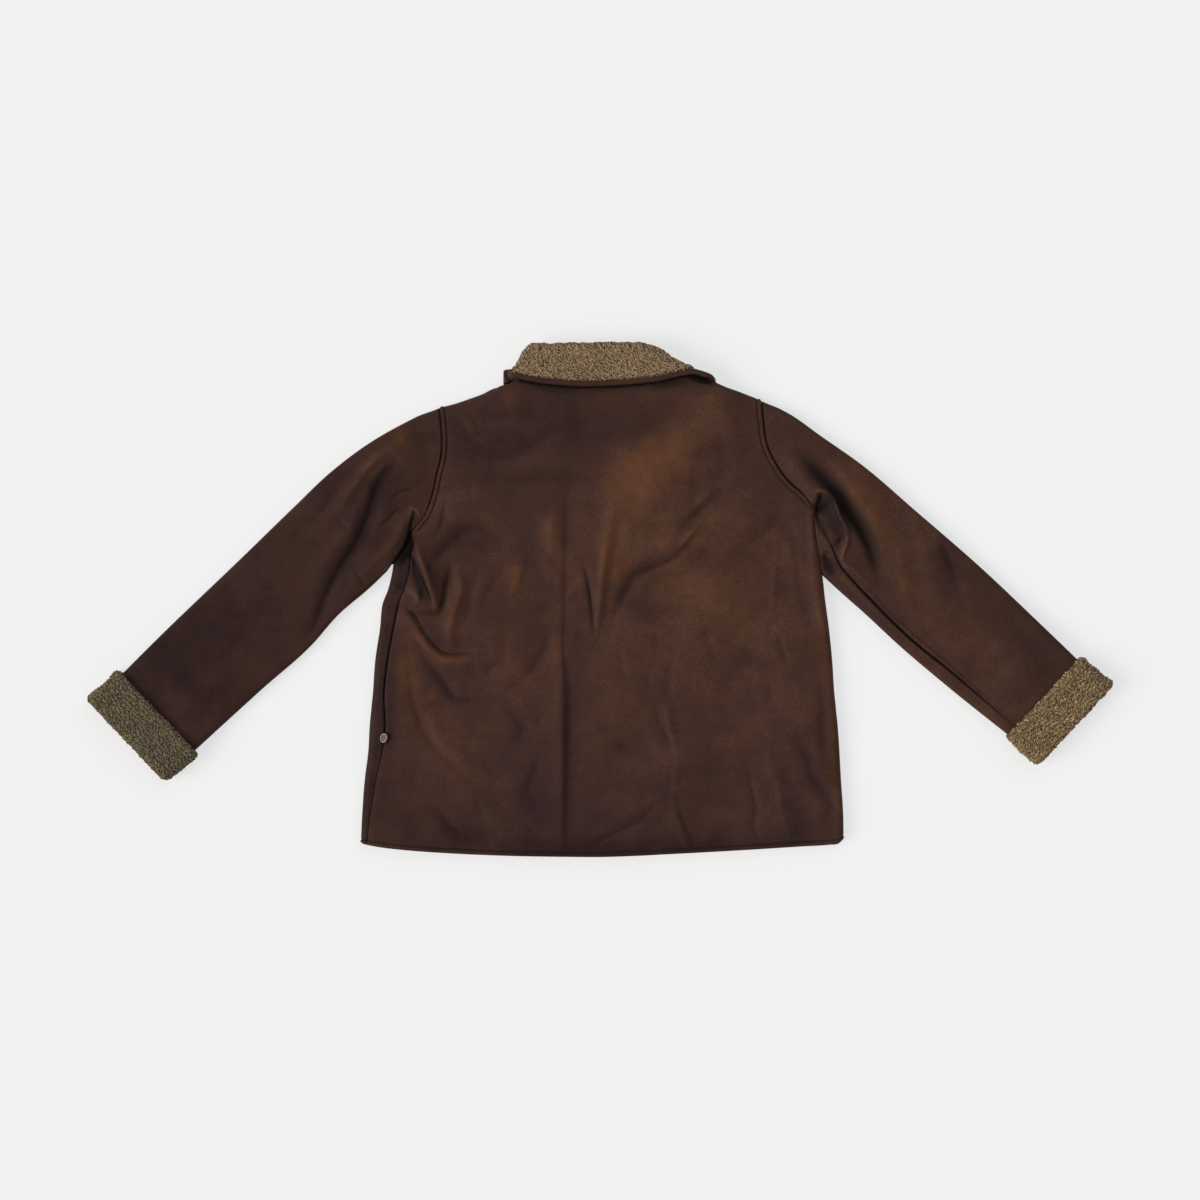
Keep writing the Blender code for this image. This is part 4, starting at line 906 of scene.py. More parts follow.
def flatSection(x, level):
    # rows that end at the armholes: level, with an end rounded down near the underarm
    r = body["edgeRadius"]
    inset = np.minimum(x - rows["leftX"][:, None], rows["rightX"][:, None] - x)
    rounded = np.sqrt(np.clip(1.0 - (1.0 - np.clip(inset, 0.0, r) / r) ** 2, 0.0, 1.0))
    height = 1.0 - rows["round"][:, None] * (1.0 - rounded)
    side = np.where(x - rows["leftX"][:, None] < rows["rightX"][:, None] - x, -1.0, 1.0)
    return x, level * r * height, side * np.sqrt(1.0 - height**2), level * height


liftLine = table("x y", [
    (-150, 266), (-110, 238), (-80, 206), (-44, 174), (12, 160), (66, 176), (100, 206), (130, 236),
    (170, 266)])


def neckLift(x, y):
    # rise of both layers over the collar's front leaf, which lies under them: the neck rise times a soft
    # step across the lift line, times soft steps at both sides
    inside = smooth(-110.0, 10.0, y - softAt(x, liftLine["x"], liftLine["y"]))
    across = smooth(-178.0, -120.0, x) * (1.0 - smooth(146.0, 196.0, x))
    return body["neckRise"] * inside * across


def lapLift(x, y):
    # rise of the back over the lapped fronts, which end at the front neck: a soft step at each side of
    # the lap, and one at the neck
    across = smooth(body["lapLeft"] - 150.0, body["lapLeft"] - 20.0, x) * (
        1.0 - smooth(body["lapRight"] + 10.0, body["lapRight"] + 150.0, x))
    return body["lapLift"] * across * (1.0 - smooth(212.0, 250.0, y))


def foldsAt(x, y, folds, power=1.7):
    # sum of all folds, each one its height times the bell along its route
    return sum(tall * bellAlong(x, y, left, right, route, power) for tall, left, right, route in folds)


def gapsAt(x, y, gaps):
    # the same with flatter bells, times 1.15, at most 1
    return np.minimum(foldsAt(x, y, gaps, 2.6) * 1.15, 1.0)


def tonesAt(x, y, tones):
    # lightness and warmth: painted light and shade with the cloth's own mottling, each a sum of bells along
    # the routes
    shade, warmth = np.zeros(x.shape), np.zeros(x.shape)
    for light, warm, half, route in tones:
        bell = bellAlong(x, y, half, half, route)
        shade += light * bell
        warmth += warm * bell
    return shade, warmth


def pillowAt(x, y):
    # the pillow height times 1 - e^-(inset / fall) from the sides, from the hem and from the top edge
    inset = np.maximum(np.minimum(x - rows["leftX"][:, None], rows["rightX"][:, None] - x), 0.0)
    hemInset = np.maximum(y - y[:1], 0.0)
    topInset = np.maximum(softAt(x, backTop["x"], backTop["y"]) - y, 0.0)
    return body["pillow"] * (1 - np.exp(-inset / body["sideFall"])) * (
        1 - np.exp(-hemInset / body["hemFall"])) * (1 - np.exp(-topInset / body["topFall"]))


def finishPanel(section, topLine, upper, dips, folds, tones):
    # flat section, rolled shoulder and hem edges, then lifts, folds and seam dips along its height
    x, z, outX, outZ = section
    r = body["edgeRadius"]
    y = rowY(x, topLine)
    fromTop = softAt(x, topLine["x"], topLine["y"]) - y
    shoulder = (1.0 - smooth(neckEnds[0] - 12.0, neckEnds[0] + 2.0, x)) + smooth(
        neckEnds[1] - 2.0, neckEnds[1] + 12.0, x)
    outY = shoulder * np.clip(1.0 - fromTop / r, 0.0, 1.0) * ~rows["side"][:, None]
    rolled = np.sqrt(1.0 - outY**2)
    z = z * np.maximum(rolled, 0.03)
    outX, outZ = outX * rolled, outZ * rolled
    onTop = np.clip(z / r, 0.0, 1.0) ** 2
    below = np.clip(-z / r, 0.0, 1.0) ** 2
    lift = neckLift(x, y) + dimpleAt(x, y) * (z < 0)
    if upper:
        lift = lift + onTop * (lapLift(x, y) + pillowAt(x, y) + foldsAt(x, y, folds) * (
            1.0 - smooth(214.0, 244.0, y)))
    lift = lift + below * np.maximum(foldsAt(x, y, undersideFolds), 0.0)
    outer = np.stack([x, y, r + z + lift], -1)
    out = np.stack([outX, outY, outZ], -1)
    inner = outer - body["wall"] * out
    # hem: rolled edge, crowned band, stitched groove
    hemInset = y - y[:1]
    fromStitches = hemInset - body["hemBand"]
    roll = 1.7 * hump(hemInset, 1.1) + 0.9 * hump(fromStitches, 0.8)
    roll = roll - 0.5 * smooth(0.5, 2.0, hemInset) * (1 - smooth(4.2, 5.2, hemInset))
    outer = outer - (roll + dips)[..., None] * out
    inner = inner + (1.4 * hump(hemInset, 3.0))[..., None] * out
    # painted shade: darker in the hem's stitched groove and in the seam dips; the gap, painted black where
    # light hardly gets in, is kept to the upper side
    shade, warmth = tonesAt(x, y, tones)
    groove = hump(fromStitches, 1.2) * 0.5
    gap = gapsAt(x, y, bodyGaps) * smooth(-0.5, 0.1, z / r)
    return outer, inner, shade * onTop - groove - 0.22 * np.minimum(dips, 1.6), warmth * onTop, gap


def dimpleAt(x, y):
    # hollow under the right rivet: flat for 8 mm each way, then soft steps up to 18 mm
    away = np.abs(x - rivets["rightX"]), np.abs(y - rivets["y"])
    return rivets["dimple"] * (1.0 - smooth(8.0, 18.0, away[0])) * (1.0 - smooth(8.0, 18.0, away[1]))


def armholeBand(x, y, hole):
    # beside the seam: a hump-shaped dip at the seam, a crowned band, then a second dip for the stitches
    line = routeThrough(pointsOf(hole), np.linspace(0.0, 1.0, 40))
    near = np.abs(x - np.interp(y, line[:, 1], line[:, 0])) < 40
    near &= y > line[0, 1] - 20
    dips = np.zeros(x.shape)
    away, _, _ = offRoute(x[near], y[near], line)
    width = body["bandWidth"]
    dips[near] = (1.9 * hump(away, 1.1) + 1.15 * hump(away - width, 0.9)
                  - 0.8 * smooth(0.6, 2.6, away) * (1 - smooth(width - 2.2, width - 0.4, away)))
    return dips


# Collar stations: place, seam at the neck, roll line and leaf edge, on the back and below
collarBack = table("x neck roll leaf", [
    (-101, 263, 279, 266.5), (-94, 266, 292.5, 264), (-88, 268, 302, 262.6), (-82, 270, 305.6, 261.4),
    (-62, 272, 306, 258.5), (-30, 275, 307, 256), (4, 276, 307.5, 256), (34, 275, 307.5, 258),
    (56, 274, 306, 260), (74, 272.5, 299, 262.5), (88, 271.5, 288.5, 266), (100, 269.5, 282.5, 268.6),
    (112, 267, 278, 270.4), (124, 263, 274.4, 267.6)])
collarFront = table("x neck roll leaf", [
    (-101, 256, 271, 255), (-86, 232, 258, 205), (-56, 208.5, 232, 170), (-24, 200, 214, 153),
    (12, 198, 210, 150), (46, 200, 216, 154), (78, 209, 234, 172), (108, 230, 256, 206),
    (124, 255, 270, 254.5)])
turnLeft = table("turn neck roll leaf", [
    (180, 256.5, 271.5, 257.5), (150, 259.5, 274, 258), (120, 260.5, 275, 257.5), (90, 261, 276, 258),
    (60, 261.5, 277, 260), (30, 262, 277.5, 262), (0, 263, 279, 265)])
turnRight = table("turn neck roll leaf", [
    (0, 263, 274.2, 267.4), (30, 261, 272.4, 265.6), (60, 259, 269, 261), (90, 257, 265.5, 257.5),
    (120, 257, 266.5, 257), (150, 257.5, 269, 257), (180, 256, 270.5, 256.5)])

rivets = {
    "radius": 5.6,
    "height": 2.0,
    "y": -165.6,
    "leftX": float(np.interp(-165.6, leftSide["y"], leftSide["edge"] + leftSide["seam"])),
    "rightX": float(np.interp(-165.6, rightSide["y"], rightSide["edge"] - rightSide["seam"])),
    "dimple": 2.5,
    "seatTurn": 17.0,       # degrees between the side seam's way and the line the left cap leans about
    "leftLean": 30.0,
    "leftRise": 1.9,        # over the cloth, as the lean lowers one side
    "leftNarrow": 0.84,
}

# Folds of the underside: hollows only, so that it lies flat on its high places
undersideFolds = [
    (1.6, 16, 12, [(-200, 60), (-150, 20), (-120, -60)]),
    (1.4, 12, 18, [(-230, -60), (-190, -140), (-120, -200)]),
    (1.8, 14, 14, [(-80, 120), (-70, 10), (-90, -120)]),
    (1.2, 18, 14, [(-150, -210), (-100, -250), (-60, -286)]),
    (1.5, 15, 15, [(60, 90), (90, 0), (80, -110)]),
    (1.7, 13, 17, [(230, 90), (180, 40), (120, 26)]),
    (1.3, 18, 15, [(110, -150), (160, -210), (170, -280)]),
    (1.4, 14, 14, [(50, -180), (44, -240), (60, -290)]),
    (1.5, 14, 16, [(-250, 130), (-300, 60), (-350, -10)]),
    (1.2, 16, 16, [(-380, -20), (-440, -80), (-480, -110)]),
    (1.5, 14, 16, [(280, 110), (330, 40), (390, -30)]),
    (1.3, 16, 14, [(400, 30), (450, -30), (500, -70)]),
]

nearEdge = np.array([0, 0.45, 0.9, 1.4, 2.0, 2.7, 3.4, 4.2, 5.0, 5.8, 6.6, 7.4, 8.4, 9.8, 11.6, 13.8])


def pocketMouth():
    # 1 along the pocket in the left side seam, less above it and below the rivet
    y = rows["leftY"]
    return 0.55 + 0.6 * smooth(-168, -158, y) * (1 - smooth(-12, 4, y)) - 0.25 * (1 - smooth(-200, -168, y))


def panelSection(s, flatX, level):
    # round the flat tube up to the underarms, level between the armholes; and the distances to both ends
    tube, flat = roundSection(s), flatSection(flatX, level)
    section = [np.where(rows["side"][:, None], a, b) for a, b in zip(tube, flat)]
    return section, s - s[:, :1], s[:, -1:] - s


def panelPiece(name, node, material, outer, inner, shade, warmth, gap):
    # a body panel with its three shades; also gives its outer grid
    shades = [("tone", shade), ("warmth", warmth), ("gap", gap)]
    return settle(clothShell(name, outer, inner, material, shades), node), outer


def buildBack(material):
    # from seam to seam over the top, with the collar's shadow on it
    r, side, halfGap = body["edgeRadius"], rows["side"], body["seamGap"] / 2
    length = (math.pi - 2.0) * r + rows["rightX"] - rows["leftX"]
    start = np.where(side, seamArc(rows["leftSeam"]) + halfGap, rows["leftX"] + halfGap)
    end = np.where(side, length + seamArc(rows["rightSeam"]) - halfGap, rows["rightX"] - halfGap)
    s = columnsBetween(start, end, nearEdge, 288)
    section, fromStart, fromEnd = panelSection(s, s, 1.0)
    mouth = pocketMouth()[:, None]
    dips = mouth * hump(fromStart, 0.7 + 0.4 * mouth) + hump(fromEnd, 1.1)
    dips = body["seamDip"] * dips * side[:, None]
    y = rowY(section[0], backTop)
    dips = dips + (armholeBand(section[0], y, leftArmhole) + armholeBand(section[0], y, rightArmhole)) * (
        ~side[:, None])
    outer, inner, shade, warmth, gap = finishPanel(section, backTop, True, dips, bodyFolds, bodyTones)
    # painted shade down in the seam dips
    gap = np.maximum(gap, 0.75 * np.minimum(dips / 1.5, 1.0) ** 2)
    # painted shadow under the collar's leaf: black near its edge, darker for 14 mm below it
    under = softAt(outer[..., 0], collarBack["x"], collarBack["leaf"]) - outer[..., 1]
    inside = (outer[..., 0] > collarBack["x"][0] + 4) & (outer[..., 0] < collarBack["x"][-1] + 4)
    gap = np.maximum(gap, inside * (1.0 - smooth(1.2, 3.6, under)))
    shade = shade - inside * 0.6 * (1.0 - smooth(0.0, 14.0, under))
    return panelPiece("back_panel", "back", material, outer, inner, shade, warmth, gap)


def buildLeftFront(material):
    # from its lapped edge under the back to the left seam; its lap rises over the right front
    r, side, halfGap = body["edgeRadius"], rows["side"], body["seamGap"] / 2
    reach = rows["leftX"] + r - math.pi / 2 * r
    start = np.where(side, reach - body["lapRight"], -body["lapRight"])
    end = np.where(side, seamArc(rows["leftSeam"]) - halfGap, -rows["leftX"] - halfGap)
    s = columnsBetween(start, end, nearEdge, 110)
    section, fromStart, fromEnd = panelSection(s, -s, -1.0)
    mouth = np.where(side[:, None], pocketMouth()[:, None], 1.0)
    dips = 1.3 * hump(fromStart, 1.3) + body["seamDip"] * mouth * hump(fromEnd, 1.2)
    outer, inner, shade, warmth, gap = finishPanel(section, frontTop, True, dips, bodyFolds, bodyTones)
    # painted shade down in the seam dips
    gap = np.maximum(gap, 0.8 * np.minimum(dips / 1.6, 1.0) ** 2)
    step = body["lapRise"] * (outer[..., 2] < 12) * smooth(
        body["lapLeft"] - 34.0, body["lapLeft"] - 4.0, outer[..., 0])
    outer[..., 2] += step
    inner[..., 2] += step
    return panelPiece(
        "front_panel_left", "front_left", material, outer, inner, shade - 0.60, warmth - 0.35, gap)


def buildRightFront(material):
    # from the right seam to its lapped edge, which lies on the ground
    r, side, halfGap = body["edgeRadius"], rows["side"], body["seamGap"] / 2
    length = (math.pi - 2.0) * r + rows["rightX"] - rows["leftX"]
    start = np.where(side, length + seamArc(rows["rightSeam"]) + halfGap, halfGap - rows["rightX"])
    end = np.where(side, length + math.pi / 2 * r + rows["rightX"] - r - body["lapLeft"], -body["lapLeft"])
    s = columnsBetween(start, end, nearEdge, 100)
    section, fromStart, fromEnd = panelSection(s, -s, -1.0)
    dips = body["seamDip"] * hump(fromStart, 1.1) + 1.3 * hump(fromEnd, 1.3)
    finished = finishPanel(section, frontTop, False, dips, bodyFolds, bodyTones)
    return panelPiece("front_panel_right", "front_right", material, *finished)


# Sleeves and cuffs

sleeves = {
    "pillow": 4.5,
    "rise": 6.3,            # into the cuff
    "cuffDepth": 50.0,
    "cuffLip": 6.2,
    "cuffWall": 6.0,
    "inside": 1.8,
    "seamPart": 0.024,      # part of its length in which a sleeve rounds up from its seam
    "length": 520.0,
}
sleeves["cuffInside"] = body["edgeRadius"] + body["seamGap"]
sleeves["cuffOutside"] = sleeves["cuffInside"] + sleeves["cuffWall"]

leftTop = table("x y", [
    (-194.5, 230.9), (-228, 215), (-270, 192), (-324, 152.4), (-366, 112.8), (-434.4, 46.8),
    (-517.2, -32.4), (-573.6, -88.8)])
leftUnder = table("x y", [
    (-248.4, 43), (-252.6, 35), (-260.4, 27.2), (-273.9, 14.8), (-313.2, -18), (-345.6, -54),
    (-406.8, -108), (-486.6, -181.2)])
leftUnderarm = [(-229.2, 73.0), (-234.6, 62.4), (-240.6, 53.4)]   # the seam line beside the body's edge
rightTop = table("x y", [
    (194.8, 239.3), (230.4, 220.8), (262.8, 198), (314.4, 162), (378, 108), (460.8, 36), (536.4, -36),
    (573.6, -72)])
rightUnder = table("x y", [
    (265.5, 32.6), (282, 16.8), (320.4, -18), (358.8, -54), (422.4, -108), (489.6, -162)])
rightUnderarm = [(257.4, 94.0), (258.4, 77.0), (261.6, 56.0), (263.6, 43.0)]
leftCuffEnd = np.array([(-613.2, -123.6), (-530.4, -212.4)])
rightCuffEnd = np.array([(613.2, -101.0), (531.0, -196.8)])

# How far the two flat edges of a cuff are pulled in, at distances from the sleeve side: top, then under
cuffTrims = {
    "left": (([0, 8, 16, 30, 46, 56], [1, 0, 3, 3.6, 3, 2]), ([0, 10, 56], [0.6, 0, 0])),
    "right": (([0, 6, 14, 22, 34, 46, 56], [2, 0.8, 3, 2, 3.6, 2, 0]),
              ([0, 8, 20, 36, 56], [4, 3.6, 1.4, 0.4, 0])),
}

leftSleeveFolds = [
    (5.4, 6, 10, [(-231, 168), (-248, 177), (-260, 175), (-272, 165), (-283, 153), (-295, 135), (-305, 120),
                  (-313, 104)]),
    (1.8, 3, 3.5, [(-249, 169), (-260, 160), (-273, 146)]),
    (-6.5, 9, 7, [(-245, 163), (-257, 152), (-266, 140), (-273, 120), (-279, 99), (-286, 80), (-297, 61),
                  (-308, 45), (-316, 33), (-326, 13), (-333, -4), (-340, -25), (-347, -40)]),
    (3, 12, 8, [(-252, 130), (-262, 104), (-270, 78), (-284, 52)]),
    (-3.2, 7, 8, [(-306, 143), (-322, 125), (-334, 106), (-346, 90), (-356, 83)]),
    (2.6, 9, 9, [(-292, 108), (-306, 78), (-326, 52), (-344, 22)]),
    (-1.9, 3, 3, [(-222, 134), (-238, 130), (-250, 122)]),
    (-2.2, 3, 3, [(-228, 112), (-243, 108), (-254, 97), (-263, 88)]),
    (3.4, 7, 7, [(-224, 108), (-233, 94), (-240, 76), (-252, 58)]),
    (-1.5, 4, 4, [(-315, 99), (-300, 82)]),
    (-1.6, 3, 3, [(-294, 34), (-286, 26), (-282, 17)]),
    (2.4, 7, 5, [(-243, 74), (-260, 54), (-281, 34), (-300, 14)]),
    (-1.7, 2.6, 2.6, [(-256, 34), (-283, 14), (-303, -5), (-324, -26)]),
    (-1.4, 3, 3, [(-234, 207), (-216, 212), (-200, 214)]),
    (2, 8, 8, [(-252, 196), (-236, 196), (-222, 202)]),
    (-2.2, 8, 8, [(-212, 200), (-208, 184), (-206, 166)]),
    (2.2, 18, 20, [(-390, 40), (-430, -10), (-470, -60)]),
    (-2, 12, 12, [(-432, -94), (-460, -122), (-486, -150)]),
    (2, 14, 14, [(-420, -60), (-470, -110), (-500, -140)]),
    (-1.8, 12, 14, [(-400, 56), (-440, 18), (-476, -20)]),
    (-1.6, 16, 16, [(-470, 6), (-520, -50), (-548, -84)]),
]
rightSleeveFolds = [
    (-8.5, 15, 6, [(242, 176), (262, 154), (280, 134), (298, 108), (314, 84), (326, 58), (335, 28)]),
    (4.6, 12, 8, [(274, 178), (296, 146), (320, 109), (337, 72), (346, 38)]),
    (6.5, 2.4, 7, [(258, 126), (264, 131), (270, 130), (276, 127), (280.5, 121), (283.5, 114),
                   (289.5, 97.5),
                   (295.5, 87), (298.5, 79.5)]),
    (-6, 5, 5, [(264, 124), (262, 112), (260, 101), (265, 90), (273, 75)]),
    (4.4, 2.4, 3.4, [(298, 78), (295.6, 66), (292, 57), (290, 48)]),
    (-3, 4, 4, [(278, 68), (286, 68), (292, 76)]),
    (2.4, 4, 5, [(290, 48), (294, 42), (303, 37.5), (315, 27), (324, 18)]),
    (1.6, 1.8, 2.4, [(265, 58), (271, 60.6), (277.5, 60)]),
    (-2.4, 3, 4, [(268, 54), (276, 52)]),
    (3.6, 12, 12, [(222, 176), (236, 160), (252, 146)]),
    (1.8, 8, 10, [(338, 100), (354, 68), (362, 40), (371, -4), (388, -44)]),
    (-1.8, 12, 9, [(352, 112), (372, 84), (384, 40)]),
    (-2.8, 9, 12, [(404, 78), (412, 64), (422, 40), (430, 12), (440, -16)]),
    (2.2, 12, 14, [(392, 60), (402, 20), (410, -30)]),
    (-2.2, 10, 10, [(488, -20), (510, -42), (532, -60)]),
    (2, 18, 18, [(440, 0), (480, -60), (510, -100)]),
    (1.8, 14, 14, [(320, 140), (366, 96), (420, 40)]),
    (-2.8, 1.4, 1.4, [(258.7, 102), (264, 94.5), (271.5, 78), (279, 63), (285, 48), (291, 37.5),
                      (301.5, 25.5),
                      (324, 1.5), (344, -19), (372, -46), (420, -85), (497, -152)]),
    (2.2, 2.2, 4, [(294, 37), (305, 26), (326, 5), (346, -16), (374, -42), (420, -81), (494, -147)]),
    (1.6, 6, 3, [(276, 50), (286, 34), (300, 18), (322, -5), (340, -22)]),
]
# Painted light and shade on the sleeves, mixed with the cloth's own mottling: lighter or darker, warmer or
# cooler, half width, the route
leftSleeveTones = [
    (0.7, 0.1, 1.7, [(-230, 100), (-225.5, 110), (-221, 107), (-217, 97)]),
    (-0.35, -0.35, 60, [(-430, 0), (-500, -80), (-540, -130)]),
    (-0.25, -0.1, 60, [(-400, 60), (-500, -60), (-540, -120)]),
    (-0.3, -0.7, 12, [(-256, 150), (-274, 112), (-300, 56), (-340, -26)]),
    (0.4, 0.95, 11, [(-246, 196), (-232, 196)]),
    (-0.3, -0.4, 12, [(-200, 206), (-208, 184)]),
    (0.4, 0.05, 8, [(-244, 179), (-260, 178), (-274, 166), (-298, 134)]),
    (0.3, 0, 1.5, [(-243, 110), (-232, 111), (-224, 110.4), (-220.4, 106), (-215, 99)]),
    (-0.26, -0.2, 10, [(-236, 160), (-256, 132), (-272, 100)]),
    (-0.34, -0.1, 16, [(-290, 80), (-262, 66), (-250, 60)]),
    (-0.24, -0.1, 10, [(-304, 158), (-284, 142)]),
    (0.24, 0.2, 13, [(-240, 76), (-262, 52), (-282, 32)]),
    (0.12, 0.3, 14, [(-300, 90), (-330, 40)]),
    (-0.28, -0.3, 10, [(-286, 171), (-346, 120)]),
]
rightSleeveTones = [
    (0.2, 0.3, 40, [(260, 200), (330, 140), (420, 60)]),
    (0.12, 0.9, 14, [(246, 214), (300, 182), (360, 134), (420, 82)]),
    (0.85, 0, 1.4, [(254, 131), (264, 131.4), (270, 130.4), (276, 127.4), (281, 121)]),
    (1.3, 0, 2.4, [(262, 131.5), (271, 131), (279, 123.5), (283.5, 110), (289.5, 96.5), (297, 85.5)]),
    (0.62, 0, 2.2, [(298, 79), (295.4, 67), (292, 57), (290.4, 48), (294, 41.5), (303, 36.5)]),
    (-0.85, -0.05, 9, [(269, 120), (273, 106), (279, 92), (284, 80), (283, 68)]),
    (-0.45, -0.1, 7, [(268, 52), (276, 38), (282, 26)]),
    (0.2, 0.2, 4, [(296, 68), (293, 58)]),
    (0.7, 0.2, 1.5, [(265.5, 58.5), (271, 61), (277.5, 60)]),
    (0.3, 0.6, 4, [(259, 94), (264, 80), (270, 68)]),
    (0.2, 0.3, 4, [(282, 42), (292, 28), (308, 12)]),
    (-0.62, -0.2, 10, [(272, 112), (280, 94), (288, 78)]),
    (-0.9, -0.2, 6, [(268, 52), (273, 42), (282, 30)]),
    (-0.5, -0.2, 6, [(290, 10), (306, -6), (326, -26)]),
    (-0.35, -0.2, 12, [(262, 158), (282, 136), (300, 104)]),
    (0.3, 0.75, 13, [(290, 160), (308, 134), (328, 104), (344, 64)]),
    (-0.3, -0.5, 14, [(248, 170), (278, 134), (316, 76)]),
    (-0.2, -0.2, 8, [(213, 222), (216, 206)]),
    (0.22, 0.9, 11, [(336, 96), (356, 64), (366, 20), (386, -42)]),
    (0.1, -0.6, 17, [(352, 114), (370, 86)]),
    (-0.28, 0.9, 9, [(303, 66), (310, 50), (320, 34)]),
    (-0.3, -0.3, 18, [(410, 70), (424, 34), (432, 0)]),
    (-0.3, -0.1, 34, [(480, -20), (530, -70), (510, -110)]),
    (0.12, 0.35, 26, [(380, 20), (400, -20), (440, -70)]),
]
# Painted shade on the sleeves where light hardly gets in: strength, half width left and right of the route,
# the route
leftSleeveGaps = [
    (1.2, 1.9, 1.7, [(-223.4, 107), (-225.6, 98), (-228.6, 86), (-230, 76), (-229, 68)]),
    (1.3, 6, 6, [(-228, 80), (-231, 64), (-238, 53), (-248, 42)]),
    (0.62, 6, 5, [(-247, 161), (-257, 152), (-266, 140), (-273, 120), (-279, 99)]),
    (0.5, 4, 4, [(-276, 106), (-286, 80), (-297, 61), (-316, 33), (-333, -4), (-344, -36)]),
    (0.3, 2, 2, [(-256, 34), (-283, 14), (-303, -5), (-324, -26)]),
    (0.35, 1.6, 1.6, [(-222, 134), (-238, 130), (-250, 122)]),
    (0.4, 1.8, 1.8, [(-228, 112), (-243, 108), (-254, 97), (-263, 88)]),
    (0.3, 4, 4, [(-310, 138), (-322, 125), (-336, 103)]),
]
rightSleeveGaps = [
    (0.7, 12, 8, [(250, 164), (262, 148), (279, 129), (298, 102), (314, 82), (326, 56), (334, 30)]),
    (1.3, 3.4, 3.4, [(264.6, 129), (262, 116), (259.6, 103)]),
    (0.8, 5.5, 5.5, [(275, 122), (269, 114), (263, 104)]),
    (1, 1.5, 1.5, [(258.7, 102), (264, 94.5), (271.5, 78), (279, 63), (285, 48), (291, 37.5), (301.5, 25.5),
                     (324, 1.5), (344, -19), (372, -46), (420, -85), (500, -154)]),
    (0.42, 5, 7, [(266, 57), (271, 47), (276, 36)]),
    (0.34, 1.6, 1.6, [(264, 60.5), (270, 59.6), (277, 58.4)]),
    (0.62, 1.5, 3.6, [(295.4, 78.6), (290, 73), (284.6, 67), (282, 63)]),
    (0.45, 2.4, 1.6, [(277, 120.5), (280.4, 111), (286, 96), (291.4, 87)]),
    (0.35, 5, 5, [(406, 74), (412, 60), (424, 30)]),
]


def unrolled(part):
    # rounded end: sqrt(1 - (1 - t)^2), with t from 0 at the seam to 1, and never under 0.06
    fromSeam = np.clip(part / sleeves["seamPart"], 0.0, 1.0)
    return np.maximum(np.sqrt(1.0 - (1.0 - fromSeam) ** 2), 0.06)


def tubeRings(middle, half, level, lift, under=None, arcSteps=9, skip=2):
    # over the top, round one edge, back below, round the other; every second point below
    top = np.concatenate([middle, (level + half + lift)[..., None]], -1)
    low = level - half + (0.0 if under is None else under)
    bottom = np.concatenate([middle, low[..., None]], -1)[:, ::-1][:, ::skip]
    arcs = []
    for end, before, sign in ((-1, -2, 1.0), (0, 1, -1.0)):
        out = unit(middle[:, end] - middle[:, before])
        angle = sign * (math.pi / 2 - np.arange(1, arcSteps + 1) * math.pi / (arcSteps + 1))
        size = half[:, end, None]
        place = middle[:, None, end] + (size * np.cos(angle))[..., None] * out[:, None]
        arcs.append(np.concatenate([place, (level[:, end, None] + size * np.sin(angle))[..., None]], -1))
    return np.concatenate([top, arcs[0], bottom, arcs[1]], 1)


def sleeveLines(topEdge, underEdge, hole, underarmLine, side, parts, across, roll):
    # lines across a sleeve at the given parts of its length: straight from edge to edge, plus the bow of
    # the armhole seam, which fades with the cube of the part that is left
    r = body["edgeRadius"]
    topEdge, underEdge = pointsOf(topEdge), pointsOf(underEdge)
    hole = pointsOf(hole)[::-1] + (side * 0.1, 0.0)
    curve = routeThrough(hole, np.linspace(r / lengthAlong(hole)[-1], 1.0, 120))
    slip = smooth(0.70, 0.97, np.linspace(0.0, 1.0, len(curve)))
    curve = curve - side * 2.6 * slip[:, None] * np.array([1.0, 0.0])
    beyond = len(underarmLine) + 1
    curve = np.vstack([curve, underarmLine, underEdge[0]])
    run = lengthAlong(curve)
    underarm = run[-1 - beyond] / run[-1]
    seam = np.column_stack([np.interp(across * run[-1], run, curve[:, k]) for k in (0, 1)])
    bow = seam - (seam[0] + across[:, None] * (seam[-1] - seam[0]))
    a, b = routeThrough(topEdge, parts), routeThrough(underEdge, parts)
    flat = unit(b - a)
    a, b = a + r * flat, b - r * roll[:, None] * flat
    part = parts[:, None, None]
    lines = a[:, None] + across[None, :, None] * (b - a)[:, None] + bow[None] * (1.0 - part) ** 3
    miss = lines[0] - seam
    return lines - miss[None] * (1.0 - smooth(0.0, 0.05, part)), underarm


def cuffAxis(topEdge, underEdge, cuffEnd):
    # both ends of the sleeve's last line, and the way from there to the middle of the cuff's end
    start = np.array([pointsOf(edge)[-1] for edge in (topEdge, underEdge)])
    return start, unit(cuffEnd.mean(axis=0) - start.mean(axis=0))


